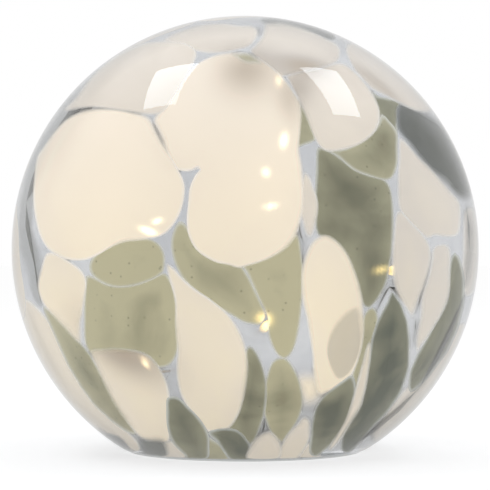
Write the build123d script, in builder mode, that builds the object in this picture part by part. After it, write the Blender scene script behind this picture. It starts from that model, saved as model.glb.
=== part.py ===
from build123d import *

import math
import os

# A blown glass ball light that stands over a round battery unit.
# The foot stands on z = 0, the ball's axis is +Z and the front of the light faces -Y.
# All sizes are in millimetres.

# Glass ball
ball_radius = 75.0
glass_wall = 4.0
rim_land = 3.8  # width of the ground rim
rim_bevel = 0.5

# Silicone seal ring, whose flange is also the foot
foot_thickness = 0.6
foot_inset = 1.6  # from the edge of the glass rim to the edge of the foot
seal_fit = 0.05
seal_wall = 3.0
seal_step_depth = 1.9  # room inside the foot for the door when it is open
seal_step_height = 1.3
seal_lip_width = 2.5
seal_lip_thickness = 0.8
seal_bead_depth = 0.8
seal_bead_height = 1.4
seal_bead_rise = 4.2  # from the glass rim to the underside of the bead
seal_bead_cover = 0.8

# Housing
housing_wall = 2.0
bay_corner_wall = 2.75  # from the battery bay's corners to the housing's side
housing_rise = 0.4  # the housing's underside above the glass rim
floor_thickness = 1.8
bay_wall = 1.6
deck_thickness = 1.2

# Battery cells
cell_radius = 5.25
cell_length = 44.5
cell_tip_radius = 1.9
cell_tip_length = 0.8
cell_edge = 0.5
cell_gap = 0.4
cell_end_gap = 0.05
cell_door_gap = 0.25
cell_roof_gap = 0.3

# Battery contacts
contact_thickness = 0.4
contact_width = 8.0
contact_height = 9.0
contact_tab_width = 2.4
contact_tab_rise = 1.2
contact_slit_gap = 0.2
spring_length = 3.6
spring_wire_radius = 0.25
spring_base_radius = 3.6
spring_tip_radius = 2.0
spring_turns = 2.5
spring_seat_gap = 0.1

# Battery door
door_thickness = 2.0
door_sunk = 0.2  # the door's face above the housing's underside
door_gap = 0.25
door_margin = 1.4  # from the door's rounded end to the housing's side
door_edge_cover = 0.2  # from the gasket to the door's straight edge
door_corner_trim = 0.9
door_hinge_gap = 1.0
gasket_width = 0.8
gasket_height = 0.5
gasket_corner = 1.5
gasket_gap = 0.05
knuckle_radius = 1.3
knuckle_half_width = 6.0
knuckle_reach = 1.9  # from the door's straight edge to the hinge axis
knuckle_gap = 0.25
pin_radius = 0.8
pin_half_length = 8.2
pin_running_gap = 0.05
finger_groove_length = 12.0
finger_groove_width = 3.0
finger_groove_depth = 0.8

# Screws
screw_radius = 1.0
screw_head_radius = 1.9
screw_head_height = 1.1
screw_slot_length = 2.4
screw_slot_width = 0.5
screw_slot_depth = 0.6
screw_hole_gap = 0.2
screw_pilot_gap = 0.02
screw_bite = 6.0
door_screw_bite = 4.0
door_screw_swing_gap = 0.35
screw_end_gap = 0.6
boss_radius = 2.3

# Lid
lid_top_thickness = 1.8
lid_skirt_wall = 1.6
lid_room = 2.2  # from the deck to the underside of the lid's top
lid_edge = 1.2
lid_gasket_height = 0.5
lid_screw_inner_gap = 2.05  # from the pockets' straight walls to the screws
lid_screw_outer_gap = 2.88  # from the pockets' round walls to the screws

# Wire grommet
grommet_neck_radius = 2.4
grommet_flange_radius = 3.6
grommet_flange_thickness = 0.8
grommet_fit = 0.05

# Circuit board with its switch
board_length = 23.0
board_width = 8.4
board_thickness = 1.2
board_inner_gap = 1.05  # from the pocket's straight wall to the board
board_outer_gap = 0.48  # from the pocket's round wall to the board's corners
board_rise = 5.6  # from the housing's floor to the board's underside
board_post_inset = 2.1  # from the board's ends to its posts
board_post_radius = 1.7
board_screw_radius = 0.7
board_screw_head_radius = 1.5
board_screw_head_height = 0.9
board_screw_bite = 3.6
chip_length = 4.9
chip_width = 3.9
chip_height = 1.4
chip_lift = 0.15
chip_leg_length = 1.0
chip_leg_width = 0.45
chip_leg_pitch = 1.27
chip_leg_height = 0.5
chip_leg_count = 4  # on each side
chip_x = 4.3
crystal_radius = 1.0
crystal_length = 5.0
crystal_x = -5.6
crystal_y_shift = 2.4
resistor_length = 2.0
resistor_width = 1.2
resistor_height = 0.6
resistor_x = -4.6
resistor_gap = 0.8
resistor_count = 2
resistor_y_shift = -2.6
switch_length = 9.2
switch_width = 4.0
switch_height = 3.6
switch_throw = 4.0
switch_stem_length = 2.0
switch_stem_width = 1.4
switch_stem_depth = 1.0
switch_stem_gap = 0.15
switch_knob_length = 2.4
switch_knob_width = 1.8
switch_knob_sunk = 0.4
switch_knob_stand = 0.25
slot_gap = 0.4
slot_dish = 0.8
slot_dish_angle = 45.0

# Insulated battery leads
lead_radius = 0.6
lead_height = 1.2  # a lead's centre above the deck
lead_bend_radius = 3.2
lead_landing_inset = 1.2  # from the board's edges to the positive lead
negative_landing_x = -4.5
negative_turn_x = -14.0
negative_turn_y = -3.0
negative_cross_x = -9.0
positive_cross_x = 13.0
lead_cross_gap = 2.35  # from the bay's side wall to where the leads cross over

# String of lights: two fine wires laid together, with a drop of clear resin over each chip
led_wire_radius = 0.4
led_bead_radius = 1.5
led_bead_half_length = 2.6
led_bead_fit = 0.05
led_chip_length = 1.6
led_chip_width = 0.8
led_chip_height = 0.5
dark_run_count = 3  # runs that carry no light, where the string leaves the base
led_run_share = 0.45  # the part of a run that the bend at its end takes
string_rise = 10.2  # from the grommet up to the first bend

# Plan sizes: the battery bay and the board settle the housing, and the housing the glass rim
cell_pitch = 2 * cell_radius + cell_gap
cell_rows = (-cell_pitch, 0.0, cell_pitch)
cell_facings = (1, -1, 1)
bay_half_width = len(cell_rows) * cell_pitch / 2
bay_half_length = (cell_length + cell_end_gap + spring_length) / 2 + contact_thickness
contact_x = bay_half_length - contact_thickness / 2
pocket_start_y = bay_half_width + bay_wall
board_inner_y = pocket_start_y + board_inner_gap
board_y = board_inner_y + board_width / 2
bay_reach = math.hypot(bay_half_length, bay_half_width) + bay_corner_wall
board_reach = math.hypot(board_length / 2, board_inner_y + board_width) + board_outer_gap + housing_wall
housing_radius = max(bay_reach, board_reach)
pocket_radius = housing_radius - housing_wall
rim_bore_radius = housing_radius + seal_wall + 2 * seal_fit
rim_radius = rim_bore_radius + rim_land
rim_drop = math.sqrt(ball_radius**2 - rim_radius**2)  # from the ball's centre to its rim
door_radius = housing_radius - door_margin
door_half_width = bay_half_width + gasket_width + 2 * gasket_gap
door_edge_x = -(bay_half_length + gasket_width + door_edge_cover)
hinge_x = door_edge_x - knuckle_reach
door_screw_x = bay_half_length + boss_radius + gasket_width
lid_screw_y = pocket_start_y + lid_screw_inner_gap
lid_screw_x = math.sqrt((pocket_radius - lid_screw_outer_gap) ** 2 - lid_screw_y**2)
lid_screw_points = [
    (sign_x * lid_screw_x, sign_y * lid_screw_y) for sign_x in (-1, 1) for sign_y in (-1, 1)
]
board_post_x = board_length / 2 - board_post_inset
board_post_points = [(-board_post_x, board_y), (board_post_x, board_y)]

# Heights, worked out from the foot up
glass_base_z = foot_thickness
ball_centre_z = glass_base_z + rim_drop
inside_radius = ball_radius - glass_wall
housing_low = glass_base_z + housing_rise
floor_top = housing_low + floor_thickness
door_low = housing_low + door_sunk
door_top = door_low + door_thickness
bay_floor = door_top + gasket_height + gasket_gap
hinge_z = door_low + knuckle_radius
cell_z = bay_floor + cell_door_gap + cell_radius
bay_ceiling = cell_z + cell_radius + cell_roof_gap
deck_top = bay_ceiling + deck_thickness
lid_low = deck_top + lid_gasket_height
lid_underside = deck_top + lid_room
lid_top = lid_underside + lid_top_thickness
board_low = floor_top + board_rise
board_top = board_low + board_thickness
grommet_top = lid_top + grommet_flange_thickness

# Route of the string: up through the grommet, then loosely round inside the glass
led_route = [
    (0, board_y, board_top),
    (0, board_y, grommet_top + string_rise),
    (-26, 22, 34),
    (-44, -10, 26),
    (-12, -50, 28.5),
    (25, -54, 56),
    (65, -11, 60.5),
    (54, 38, 62.5),
    (11, 64, 64),
    (-37, 53, 65.5),
    (-63, 11, 67),
    (-54, -36, 68),
    (-9, -62, 73),
    (25, -54, 84.5),
    (54.5, -20, 87),
    (51, 27, 88.5),
    (17, 54, 90),
    (-26, 49, 91.5),
    (-52, 16, 93.5),
    (-47, -25, 96),
    (-14, -48, 98),
    (38, -30, 102),
    (44, 12, 104),
    (18, 40, 107),
    (-20, 37, 110),
    (-39, 6, 113),
    (-25, -26, 116),
    (0, -34, 118),
    (22, -22, 121),
    (28, -4, 122),
]


def inside_height(radius):
    """Height of the lower half of the ball's inner surface at a radius from its axis."""
    return ball_centre_z - math.sqrt(inside_radius**2 - radius**2)


def bend_radii(points, run_share):
    """Largest smooth bend at each inner point of a route, in order."""
    radii = []
    for before, here, after in zip(points, points[1:], points[2:]):
        first_run = Vector(*here) - Vector(*before)
        second_run = Vector(*after) - Vector(*here)
        half_turn = math.radians(first_run.get_angle(second_run)) / 2
        radii.append(run_share * min(first_run.length, second_run.length) / math.tan(half_turn))
    return radii


def draw_door_outline(gap, hinge_gap):
    """Door outline in the active sketch: a disc with flat sides and a straight hinge edge."""
    Circle(door_radius + gap)
    with Locations((door_edge_x - hinge_gap, 0)):
        Rectangle(
            2 * (door_radius + gap),
            2 * (door_half_width + gap),
            align=(Align.MIN, Align.CENTER),
            mode=Mode.INTERSECT,
        )


def draw_cross_recess():
    """Cross recess of a screw head in the active sketch."""
    Rectangle(screw_slot_length, screw_slot_width)
    Rectangle(screw_slot_width, screw_slot_length)


def finish(builder, name):
    """Label a finished piece and write it out."""
    builder.part.label = name
    export_step(builder.part, f"parts/{name}.step")


os.makedirs("parts", exist_ok=True)

# Glass ball: one thick blown wall, ground flat below and bored out for the battery unit
with BuildPart() as glass_ball:
    with BuildSketch(Plane.XZ) as wall_section:
        with BuildLine():
            rim_angle = -math.degrees(math.asin(rim_drop / ball_radius))
            bore_angle = -math.degrees(math.acos(rim_bore_radius / inside_radius))
            outside = CenterArc((0, ball_centre_z), ball_radius, rim_angle, 90 - rim_angle)
            inside = CenterArc((0, ball_centre_z), inside_radius, bore_angle, 90 - bore_angle)
            Line(outside @ 1, inside @ 1)
            Polyline(inside @ 0, (rim_bore_radius, glass_base_z), outside @ 0)
        make_face()
        chamfer(wall_section.vertices().group_by(Axis.Y)[0], rim_bevel)
    revolve(axis=Axis.Z)
finish(glass_ball, "glass_ball")

# Seal ring: foot flange under the rim, neck in the bore, lip over the glass and a bead
# that drops into the housing's groove; its foot is stepped back to let the door swing
seal_inner_radius = housing_radius + seal_fit
seal_neck_radius = rim_bore_radius - seal_fit
seal_lip_radius = rim_bore_radius + seal_lip_width
seal_bead_radius = housing_radius - seal_bead_depth + seal_fit
foot_inner_radius = seal_inner_radius + seal_step_depth
foot_radius = rim_radius - foot_inset
bead_low = glass_base_z + seal_bead_rise
bead_high = bead_low + seal_bead_height
with BuildPart() as seal_ring:
    with BuildSketch(Plane.XZ):
        with BuildLine():
            neck_top = (seal_neck_radius, inside_height(seal_neck_radius) + seal_fit)
            lip_end = (seal_lip_radius, inside_height(seal_lip_radius) + seal_fit)
            Polyline(
                (foot_inner_radius, 0),
                (foot_radius, 0),
                (foot_radius, glass_base_z),
                (seal_neck_radius, glass_base_z),
                neck_top,
            )
            RadiusArc(neck_top, lip_end, inside_radius - seal_fit)
            Polyline(
                lip_end,
                (seal_lip_radius, lip_end[1] + seal_lip_thickness),
                (seal_inner_radius, bead_high + seal_bead_cover),
                (seal_inner_radius, bead_high - seal_fit),
                (seal_bead_radius, bead_high - seal_fit),
                (seal_bead_radius, bead_low + seal_fit),
                (seal_inner_radius, bead_low + seal_fit),
                (seal_inner_radius, seal_step_height),
                (foot_inner_radius, seal_step_height),
                (foot_inner_radius, 0),
            )
        make_face()
    revolve(axis=Axis.Z)
finish(seal_ring, "seal_ring")

# Housing body: round cup with the battery bay open below and two side pockets open above
with BuildPart() as housing_body:
    with BuildSketch(Plane.XY.offset(housing_low)):
        Circle(housing_radius)
    extrude(amount=deck_top - housing_low)
    with BuildSketch(Plane.XY.offset(bead_low)):
        Circle(housing_radius)
        Circle(housing_radius - seal_bead_depth, mode=Mode.SUBTRACT)
    extrude(amount=seal_bead_height, mode=Mode.SUBTRACT)
    with BuildSketch(Plane.XY.offset(housing_low)):
        Rectangle(2 * bay_half_length, 2 * bay_half_width)
    extrude(amount=bay_ceiling - housing_low, mode=Mode.SUBTRACT)
    with BuildSketch(Plane.XY.offset(housing_low)):
        draw_door_outline(door_gap, door_hinge_gap)
    extrude(amount=bay_floor - housing_low, mode=Mode.SUBTRACT)
    # Side pockets, with the lid's screw bosses and, lower down, the board's posts left standing
    with BuildSketch(Plane.XY.offset(floor_top)):
        Circle(pocket_radius)
        Rectangle(2 * housing_radius, 2 * pocket_start_y, mode=Mode.SUBTRACT)
        with Locations(*lid_screw_points):
            Circle(boss_radius, mode=Mode.SUBTRACT)
        with Locations(*board_post_points):
            Circle(board_post_radius, mode=Mode.SUBTRACT)
    extrude(amount=board_rise, mode=Mode.SUBTRACT)
    with BuildSketch(Plane.XY.offset(board_low)):
        Circle(pocket_radius)
        Rectangle(2 * housing_radius, 2 * pocket_start_y, mode=Mode.SUBTRACT)
        with Locations(*lid_screw_points):
            Circle(boss_radius, mode=Mode.SUBTRACT)
    extrude(amount=deck_top - board_low, mode=Mode.SUBTRACT)
    # Screw pilots
    with BuildSketch(Plane.XY.offset(deck_top)):
        with Locations(*lid_screw_points):
            Circle(screw_radius + screw_pilot_gap)
    extrude(amount=-(screw_bite + screw_end_gap), mode=Mode.SUBTRACT)
    with BuildSketch(Plane.XY.offset(board_low)):
        with Locations(*board_post_points):
            Circle(board_screw_radius + screw_pilot_gap)
    extrude(amount=-(board_screw_bite + screw_end_gap), mode=Mode.SUBTRACT)
    with BuildSketch(Plane.XY.offset(bay_floor)):
        with Locations((door_screw_x, 0)):
            Circle(screw_radius + door_screw_swing_gap)
    extrude(amount=door_screw_bite + screw_end_gap, mode=Mode.SUBTRACT)
    # Hinge pocket, with the pin's hole open to one side
    with BuildSketch(Plane.XY.offset(housing_low)):
        with Locations((hinge_x - knuckle_radius - knuckle_gap, 0)):
            Rectangle(
                knuckle_radius + knuckle_reach,
                2 * (knuckle_half_width + knuckle_gap),
                align=(Align.MIN, Align.CENTER),
            )
    extrude(amount=hinge_z + knuckle_radius + knuckle_gap - housing_low, mode=Mode.SUBTRACT)
    with BuildSketch(Plane.XZ.offset(-pin_half_length)):
        with Locations((hinge_x, hinge_z)):
            Circle(pin_radius)
    extrude(amount=pin_half_length + housing_radius, mode=Mode.SUBTRACT)
    # Slits in the deck for the two soldering tabs
    with BuildSketch(Plane.XY.offset(bay_ceiling)):
        with Locations((-contact_x, cell_rows[0]), (contact_x, cell_rows[2])):
            Rectangle(
                contact_thickness + 2 * contact_slit_gap,
                contact_tab_width + 2 * contact_slit_gap,
            )
    extrude(amount=deck_thickness, mode=Mode.SUBTRACT)
    # Switch slot, dished for a fingertip
    with BuildSketch(Plane.XY.offset(housing_low)):
        with Locations((0, board_y)):
            Rectangle(
                switch_knob_length + switch_throw + 2 * slot_gap,
                switch_knob_width + 2 * slot_gap,
            )
    extrude(amount=floor_thickness, mode=Mode.SUBTRACT)
    with BuildSketch(Plane.XY.offset(housing_low)):
        with Locations((0, board_y)):
            Rectangle(
                switch_knob_length + switch_throw + 2 * (slot_gap + slot_dish),
                switch_knob_width + 2 * (slot_gap + slot_dish),
            )
    extrude(amount=slot_dish, taper=slot_dish_angle, mode=Mode.SUBTRACT)
finish(housing_body, "housing_body")

# Gasket between housing and lid
with BuildPart() as lid_gasket:
    with BuildSketch(Plane.XY.offset(deck_top)):
        Circle(housing_radius - seal_fit)
        Circle(housing_radius - lid_skirt_wall, mode=Mode.SUBTRACT)
    extrude(amount=lid_gasket_height)
finish(lid_gasket, "lid_gasket")

# Lid: cap with a skirt, four screw posts and the wire hole
with BuildPart() as housing_lid:
    with BuildSketch(Plane.XY.offset(lid_low)):
        Circle(housing_radius)
    extrude(amount=lid_top - lid_low)
    fillet(housing_lid.edges().group_by(Axis.Z)[-1], lid_edge)
    with BuildSketch(Plane.XY.offset(lid_low)):
        Circle(housing_radius - lid_skirt_wall)
    extrude(amount=lid_underside - lid_low, mode=Mode.SUBTRACT)
    with BuildSketch(Plane.XY.offset(deck_top)):
        with Locations(*lid_screw_points):
            Circle(boss_radius)
    extrude(amount=lid_room)
    with BuildSketch(Plane.XY.offset(deck_top)):
        with Locations(*lid_screw_points):
            Circle(screw_radius + screw_hole_gap)
    extrude(amount=lid_top - deck_top, mode=Mode.SUBTRACT)
    with BuildSketch(Plane.XY.offset(lid_top)):
        with Locations(*lid_screw_points):
            Circle(screw_head_radius + screw_hole_gap)
    extrude(amount=-screw_head_height, mode=Mode.SUBTRACT)
    with BuildSketch(Plane.XY.offset(lid_underside)):
        with Locations((0, board_y)):
            Circle(grommet_neck_radius + grommet_fit)
    extrude(amount=lid_top_thickness, mode=Mode.SUBTRACT)
finish(housing_lid, "housing_lid")

# Lid screws, heads sunk flush in the lid
with BuildPart() as lid_screws:
    with BuildSketch(Plane.XY.offset(lid_top - screw_head_height)):
        with Locations(*lid_screw_points):
            Circle(screw_head_radius)
    extrude(amount=screw_head_height)
    with BuildSketch(Plane.XY.offset(lid_top - screw_head_height)):
        with Locations(*lid_screw_points):
            Circle(screw_radius)
    extrude(amount=-(lid_top - screw_head_height - deck_top + screw_bite))
    with BuildSketch(Plane.XY.offset(lid_top)):
        with Locations(*lid_screw_points):
            draw_cross_recess()
    extrude(amount=-screw_slot_depth, mode=Mode.SUBTRACT)
finish(lid_screws, "lid_screws")

# Rubber grommet, gripping the lid between two flanges
with BuildPart() as wire_grommet:
    with BuildSketch(Plane.XY.offset(lid_underside - grommet_flange_thickness)):
        with Locations((0, board_y)):
            Circle(grommet_flange_radius)
    extrude(amount=grommet_flange_thickness)
    with BuildSketch(Plane.XY.offset(lid_underside)):
        with Locations((0, board_y)):
            Circle(grommet_neck_radius)
    extrude(amount=lid_top_thickness)
    with BuildSketch(Plane.XY.offset(lid_top)):
        with Locations((0, board_y)):
            Circle(grommet_flange_radius)
    extrude(amount=grommet_flange_thickness)
    with BuildSketch(Plane.XY.offset(grommet_top)):
        with Locations((0, board_y)):
            Circle(led_wire_radius + grommet_fit)
    extrude(amount=lid_underside - grommet_flange_thickness - grommet_top, mode=Mode.SUBTRACT)
finish(wire_grommet, "wire_grommet")

# Battery door with its hinge knuckle, screw hole and finger groove
with BuildPart() as battery_door:
    with BuildSketch(Plane.XY.offset(door_low)):
        draw_door_outline(0, 0)
        with Locations((door_corner_trim, 0)):
            Circle(door_radius, mode=Mode.INTERSECT)
    extrude(amount=door_thickness)
    with BuildSketch(Plane.XY.offset(door_low)):
        with Locations((hinge_x, 0)):
            Rectangle(
                knuckle_reach + gasket_width,
                2 * knuckle_half_width,
                align=(Align.MIN, Align.CENTER),
            )
    extrude(amount=door_thickness)
    with BuildSketch(Plane.XZ.offset(-knuckle_half_width)):
        with Locations((hinge_x, hinge_z)):
            Circle(knuckle_radius)
    extrude(amount=2 * knuckle_half_width)
    with BuildSketch(Plane.XZ.offset(-knuckle_half_width)):
        with Locations((hinge_x, hinge_z)):
            Circle(pin_radius + pin_running_gap)
    extrude(amount=2 * knuckle_half_width, mode=Mode.SUBTRACT)
    with BuildSketch(Plane.XY.offset(door_low)):
        with Locations((door_screw_x, 0)):
            Circle(screw_radius + screw_hole_gap)
    extrude(amount=door_thickness, mode=Mode.SUBTRACT)
    with BuildSketch(Plane.XY.offset(door_low)):
        with Locations((door_screw_x, 0)):
            Circle(screw_head_radius + screw_hole_gap)
    extrude(amount=screw_head_height, mode=Mode.SUBTRACT)
    with BuildSketch(Plane.XY.offset(door_low)):
        with Locations((door_screw_x - boss_radius - finger_groove_width, 0)):
            SlotOverall(finger_groove_length, finger_groove_width, rotation=90)
    extrude(amount=finger_groove_depth, mode=Mode.SUBTRACT)
finish(battery_door, "battery_door")

# Rubber gasket on the door, under the rim of the battery bay
with BuildPart() as door_gasket:
    with BuildSketch(Plane.XY.offset(door_top)):
        RectangleRounded(
            2 * (bay_half_length + gasket_gap + gasket_width),
            2 * (bay_half_width + gasket_gap + gasket_width),
            gasket_corner,
        )
        RectangleRounded(
            2 * (bay_half_length + gasket_gap),
            2 * (bay_half_width + gasket_gap),
            gasket_corner - gasket_width,
            mode=Mode.SUBTRACT,
        )
    extrude(amount=gasket_height)
finish(door_gasket, "door_gasket")

# Captive screw of the door
with BuildPart() as door_screw:
    with BuildSketch(Plane.XY.offset(door_low)):
        with Locations((door_screw_x, 0)):
            Circle(screw_head_radius)
    extrude(amount=screw_head_height)
    with BuildSketch(Plane.XY.offset(door_low + screw_head_height)):
        with Locations((door_screw_x, 0)):
            Circle(screw_radius)
    extrude(amount=bay_floor + door_screw_bite - door_low - screw_head_height)
    with BuildSketch(Plane.XY.offset(door_low)):
        with Locations((door_screw_x, 0)):
            draw_cross_recess()
    extrude(amount=screw_slot_depth, mode=Mode.SUBTRACT)
finish(door_screw, "door_screw")

# Steel hinge pin
with BuildPart() as hinge_pin:
    with BuildSketch(Plane.XZ.offset(-pin_half_length)):
        with Locations((hinge_x, hinge_z)):
            Circle(pin_radius)
    extrude(amount=2 * pin_half_length)
finish(hinge_pin, "hinge_pin")

# Three cells in series, turned end for end, each against a spring and a flat contact
cell_back_x = bay_half_length - contact_thickness - cell_end_gap - cell_length
for number, (row_y, facing) in enumerate(zip(cell_rows, cell_facings), start=1):
    cell_back = Plane(origin=(facing * cell_back_x, row_y, cell_z), z_dir=(facing, 0, 0))
    with BuildPart() as battery_cell:
        with BuildSketch(cell_back):
            Circle(cell_radius)
        extrude(amount=cell_length - cell_tip_length)
        fillet(battery_cell.edges().filter_by(GeomType.CIRCLE), cell_edge)
        with BuildSketch(cell_back.offset(cell_length - cell_tip_length)):
            Circle(cell_tip_radius)
        extrude(amount=cell_tip_length)
    finish(battery_cell, f"battery_cell_{number}")

# Flat contacts on the bay's end walls: two single ones with soldering tabs, two that join
# neighbouring cells
single_contacts = [(-contact_x, cell_rows[0]), (contact_x, cell_rows[2])]
joining_contacts = [
    (contact_x, (cell_rows[0] + cell_rows[1]) / 2),
    (-contact_x, (cell_rows[1] + cell_rows[2]) / 2),
]
with BuildPart() as contact_plates:
    with Locations(*[(x, y, cell_z) for x, y in single_contacts]):
        Box(contact_thickness, contact_width, contact_height)
    with Locations(*[(x, y, cell_z) for x, y in single_contacts]):
        Box(
            contact_thickness,
            contact_tab_width,
            deck_top + contact_tab_rise - cell_z,
            align=(Align.CENTER, Align.CENTER, Align.MIN),
        )
    with Locations(*[(x, y, cell_z) for x, y in joining_contacts]):
        Box(contact_thickness, contact_width + cell_pitch, contact_height)
finish(contact_plates, "contact_plates")

# Coiled contact springs, one behind each cell
spring_steps = round(4 * spring_turns)
spring_inset = spring_wire_radius + spring_seat_gap
spring_coil_length = spring_length - 2 * spring_inset


def spring_place(step):
    """Point on the coil after a number of quarter turns, along its own axis +Z."""
    share = step / spring_steps
    angle = step * math.pi / 2
    radius = spring_base_radius + (spring_tip_radius - spring_base_radius) * share
    rise = spring_inset + spring_coil_length * share
    return Vector(radius * math.cos(angle), radius * math.sin(angle), rise)


def spring_heading(step):
    """Direction of the coil after a number of quarter turns."""
    share = step / spring_steps
    angle = step * math.pi / 2
    radius = spring_base_radius + (spring_tip_radius - spring_base_radius) * share
    radius_rate = (spring_tip_radius - spring_base_radius) / (spring_steps * math.pi / 2)
    rise_rate = spring_coil_length / (spring_steps * math.pi / 2)
    return Vector(
        radius_rate * math.cos(angle) - radius * math.sin(angle),
        radius_rate * math.sin(angle) + radius * math.cos(angle),
        rise_rate,
    ).normalized()


def add_biarc(start, start_heading, end, end_heading):
    """Two arcs that run smoothly from one place and heading to another."""
    across = end - start
    both = start_heading + end_heading
    bend = 2 * (1 - start_heading.dot(end_heading))
    along = across.dot(both)
    reach = (math.sqrt(along**2 + bend * across.dot(across)) - along) / bend
    first_corner = start + start_heading * reach
    last_corner = end - end_heading * reach
    middle = (first_corner + last_corner) / 2
    TangentArc(start, middle, tangent=start_heading)
    TangentArc(middle, end, tangent=last_corner - first_corner)


spring_tail = 2 * spring_wire_radius
spring_start = spring_place(0) - spring_heading(0) * spring_tail
spring_end = spring_place(spring_steps)
with BuildLine() as spring_path:
    Line(spring_start, spring_place(0))
    for step in range(spring_steps):
        add_biarc(
            spring_place(step), spring_heading(step), spring_place(step + 1), spring_heading(step + 1)
        )
    Line(spring_end, spring_end + spring_heading(spring_steps) * spring_tail)
with BuildPart() as spring_coil:
    with BuildSketch(Plane(origin=spring_start, z_dir=spring_heading(0))):
        Circle(spring_wire_radius)
    sweep(path=spring_path.wire())
spring_backs = [
    Plane(
        origin=(-facing * (bay_half_length - contact_thickness), row_y, cell_z),
        z_dir=(facing, 0, 0),
    )
    for row_y, facing in zip(cell_rows, cell_facings)
]
with BuildPart() as contact_springs:
    with Locations(*spring_backs):
        add(spring_coil.part)
finish(contact_springs, "contact_springs")

# Circuit board and what is soldered to it
with BuildPart() as circuit_board:
    with BuildSketch(Plane.XY.offset(board_low)):
        with Locations((0, board_y)):
            Rectangle(board_length, board_width)
        with Locations(*board_post_points):
            Circle(board_screw_radius + screw_hole_gap, mode=Mode.SUBTRACT)
    extrude(amount=board_thickness)
finish(circuit_board, "circuit_board")

with BuildPart() as board_screws:
    with BuildSketch(Plane.XY.offset(board_top)):
        with Locations(*board_post_points):
            Circle(board_screw_head_radius)
    extrude(amount=board_screw_head_height)
    with BuildSketch(Plane.XY.offset(board_top)):
        with Locations(*board_post_points):
            Circle(board_screw_radius)
    extrude(amount=-(board_thickness + board_screw_bite))
finish(board_screws, "board_screws")

with BuildPart() as timer_chip:
    with Locations((chip_x, board_y, board_top + chip_lift)):
        Box(chip_length, chip_width, chip_height, align=(Align.CENTER, Align.CENTER, Align.MIN))
    with Locations((chip_x, board_y, board_top)):
        with GridLocations(chip_leg_pitch, 0, chip_leg_count, 1):
            Box(
                chip_leg_width,
                chip_width + 2 * chip_leg_length,
                chip_leg_height,
                align=(Align.CENTER, Align.CENTER, Align.MIN),
            )
finish(timer_chip, "timer_chip")

with BuildPart() as timer_crystal:
    crystal_middle = (crystal_x, board_y + crystal_y_shift, board_top + crystal_radius)
    with BuildSketch(Plane(origin=crystal_middle, z_dir=(1, 0, 0))):
        Circle(crystal_radius)
    extrude(amount=crystal_length / 2, both=True)
finish(timer_crystal, "timer_crystal")

with BuildPart() as board_resistors:
    with Locations((resistor_x, board_y + resistor_y_shift, board_top)):
        with GridLocations(resistor_length + resistor_gap, 0, resistor_count, 1):
            Box(
                resistor_length,
                resistor_width,
                resistor_height,
                align=(Align.CENTER, Align.CENTER, Align.MIN),
            )
finish(board_resistors, "board_resistors")

# Slide switch under the board: a can with a slot and a slider in it, at its ON end
switch_low = board_low - switch_height
with BuildPart() as switch_body:
    with Locations((0, board_y, switch_low)):
        Box(switch_length, switch_width, switch_height, align=(Align.CENTER, Align.CENTER, Align.MIN))
        Box(
            switch_stem_length + switch_throw + 2 * switch_stem_gap,
            switch_stem_width + 2 * switch_stem_gap,
            switch_stem_depth + switch_stem_gap,
            align=(Align.CENTER, Align.CENTER, Align.MIN),
            mode=Mode.SUBTRACT,
        )
finish(switch_body, "switch_body")

knob_low = housing_low + switch_knob_sunk
knob_top = switch_low - switch_knob_stand
with BuildPart() as switch_slider:
    with Locations((-switch_throw / 2, board_y, knob_low)):
        Box(
            switch_knob_length,
            switch_knob_width,
            knob_top - knob_low,
            align=(Align.CENTER, Align.CENTER, Align.MIN),
        )
        Box(
            switch_stem_length,
            switch_stem_width,
            switch_low + switch_stem_depth - knob_low,
            align=(Align.CENTER, Align.CENTER, Align.MIN),
        )
finish(switch_slider, "switch_slider")

# Insulated leads from the soldering tabs over the deck and down to the board
lead_z = deck_top + lead_height
lead_start_x = contact_x - contact_thickness / 2 - lead_radius
lead_cross_y = bay_half_width - lead_cross_gap
positive_landing = (board_length / 2 - lead_landing_inset, board_inner_y + lead_landing_inset)
negative_lead_route = [
    (-lead_start_x, cell_rows[0], lead_z),
    (negative_turn_x, negative_turn_y, lead_z),
    (negative_cross_x, lead_cross_y, lead_z),
    (negative_landing_x, board_y, lead_z),
    (negative_landing_x, board_y, board_top),
]
positive_lead_route = [
    (lead_start_x, cell_rows[2], lead_z),
    (positive_cross_x, lead_cross_y, lead_z),
    (*positive_landing, lead_z),
    (*positive_landing, board_top),
]
for name, route in (("negative_lead", negative_lead_route), ("positive_lead", positive_lead_route)):
    radii = [min(lead_bend_radius, r) for r in bend_radii(route, led_run_share)]
    with BuildPart() as lead:
        with BuildLine() as lead_path:
            FilletPolyline(*route, radius=radii)
        with BuildSketch(Plane(origin=lead_path.line @ 0, z_dir=lead_path.line % 0)):
            Circle(lead_radius)
        sweep()
    finish(lead, name)

# The string's twin wire
led_radii = bend_radii(led_route, led_run_share)
with BuildPart() as led_wire:
    with BuildLine() as led_path:
        FilletPolyline(*led_route, radius=led_radii)
    with BuildSketch(Plane(origin=led_path.line @ 0, z_dir=led_path.line % 0)):
        Circle(led_wire_radius)
    sweep()
finish(led_wire, "led_wire")

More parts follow.
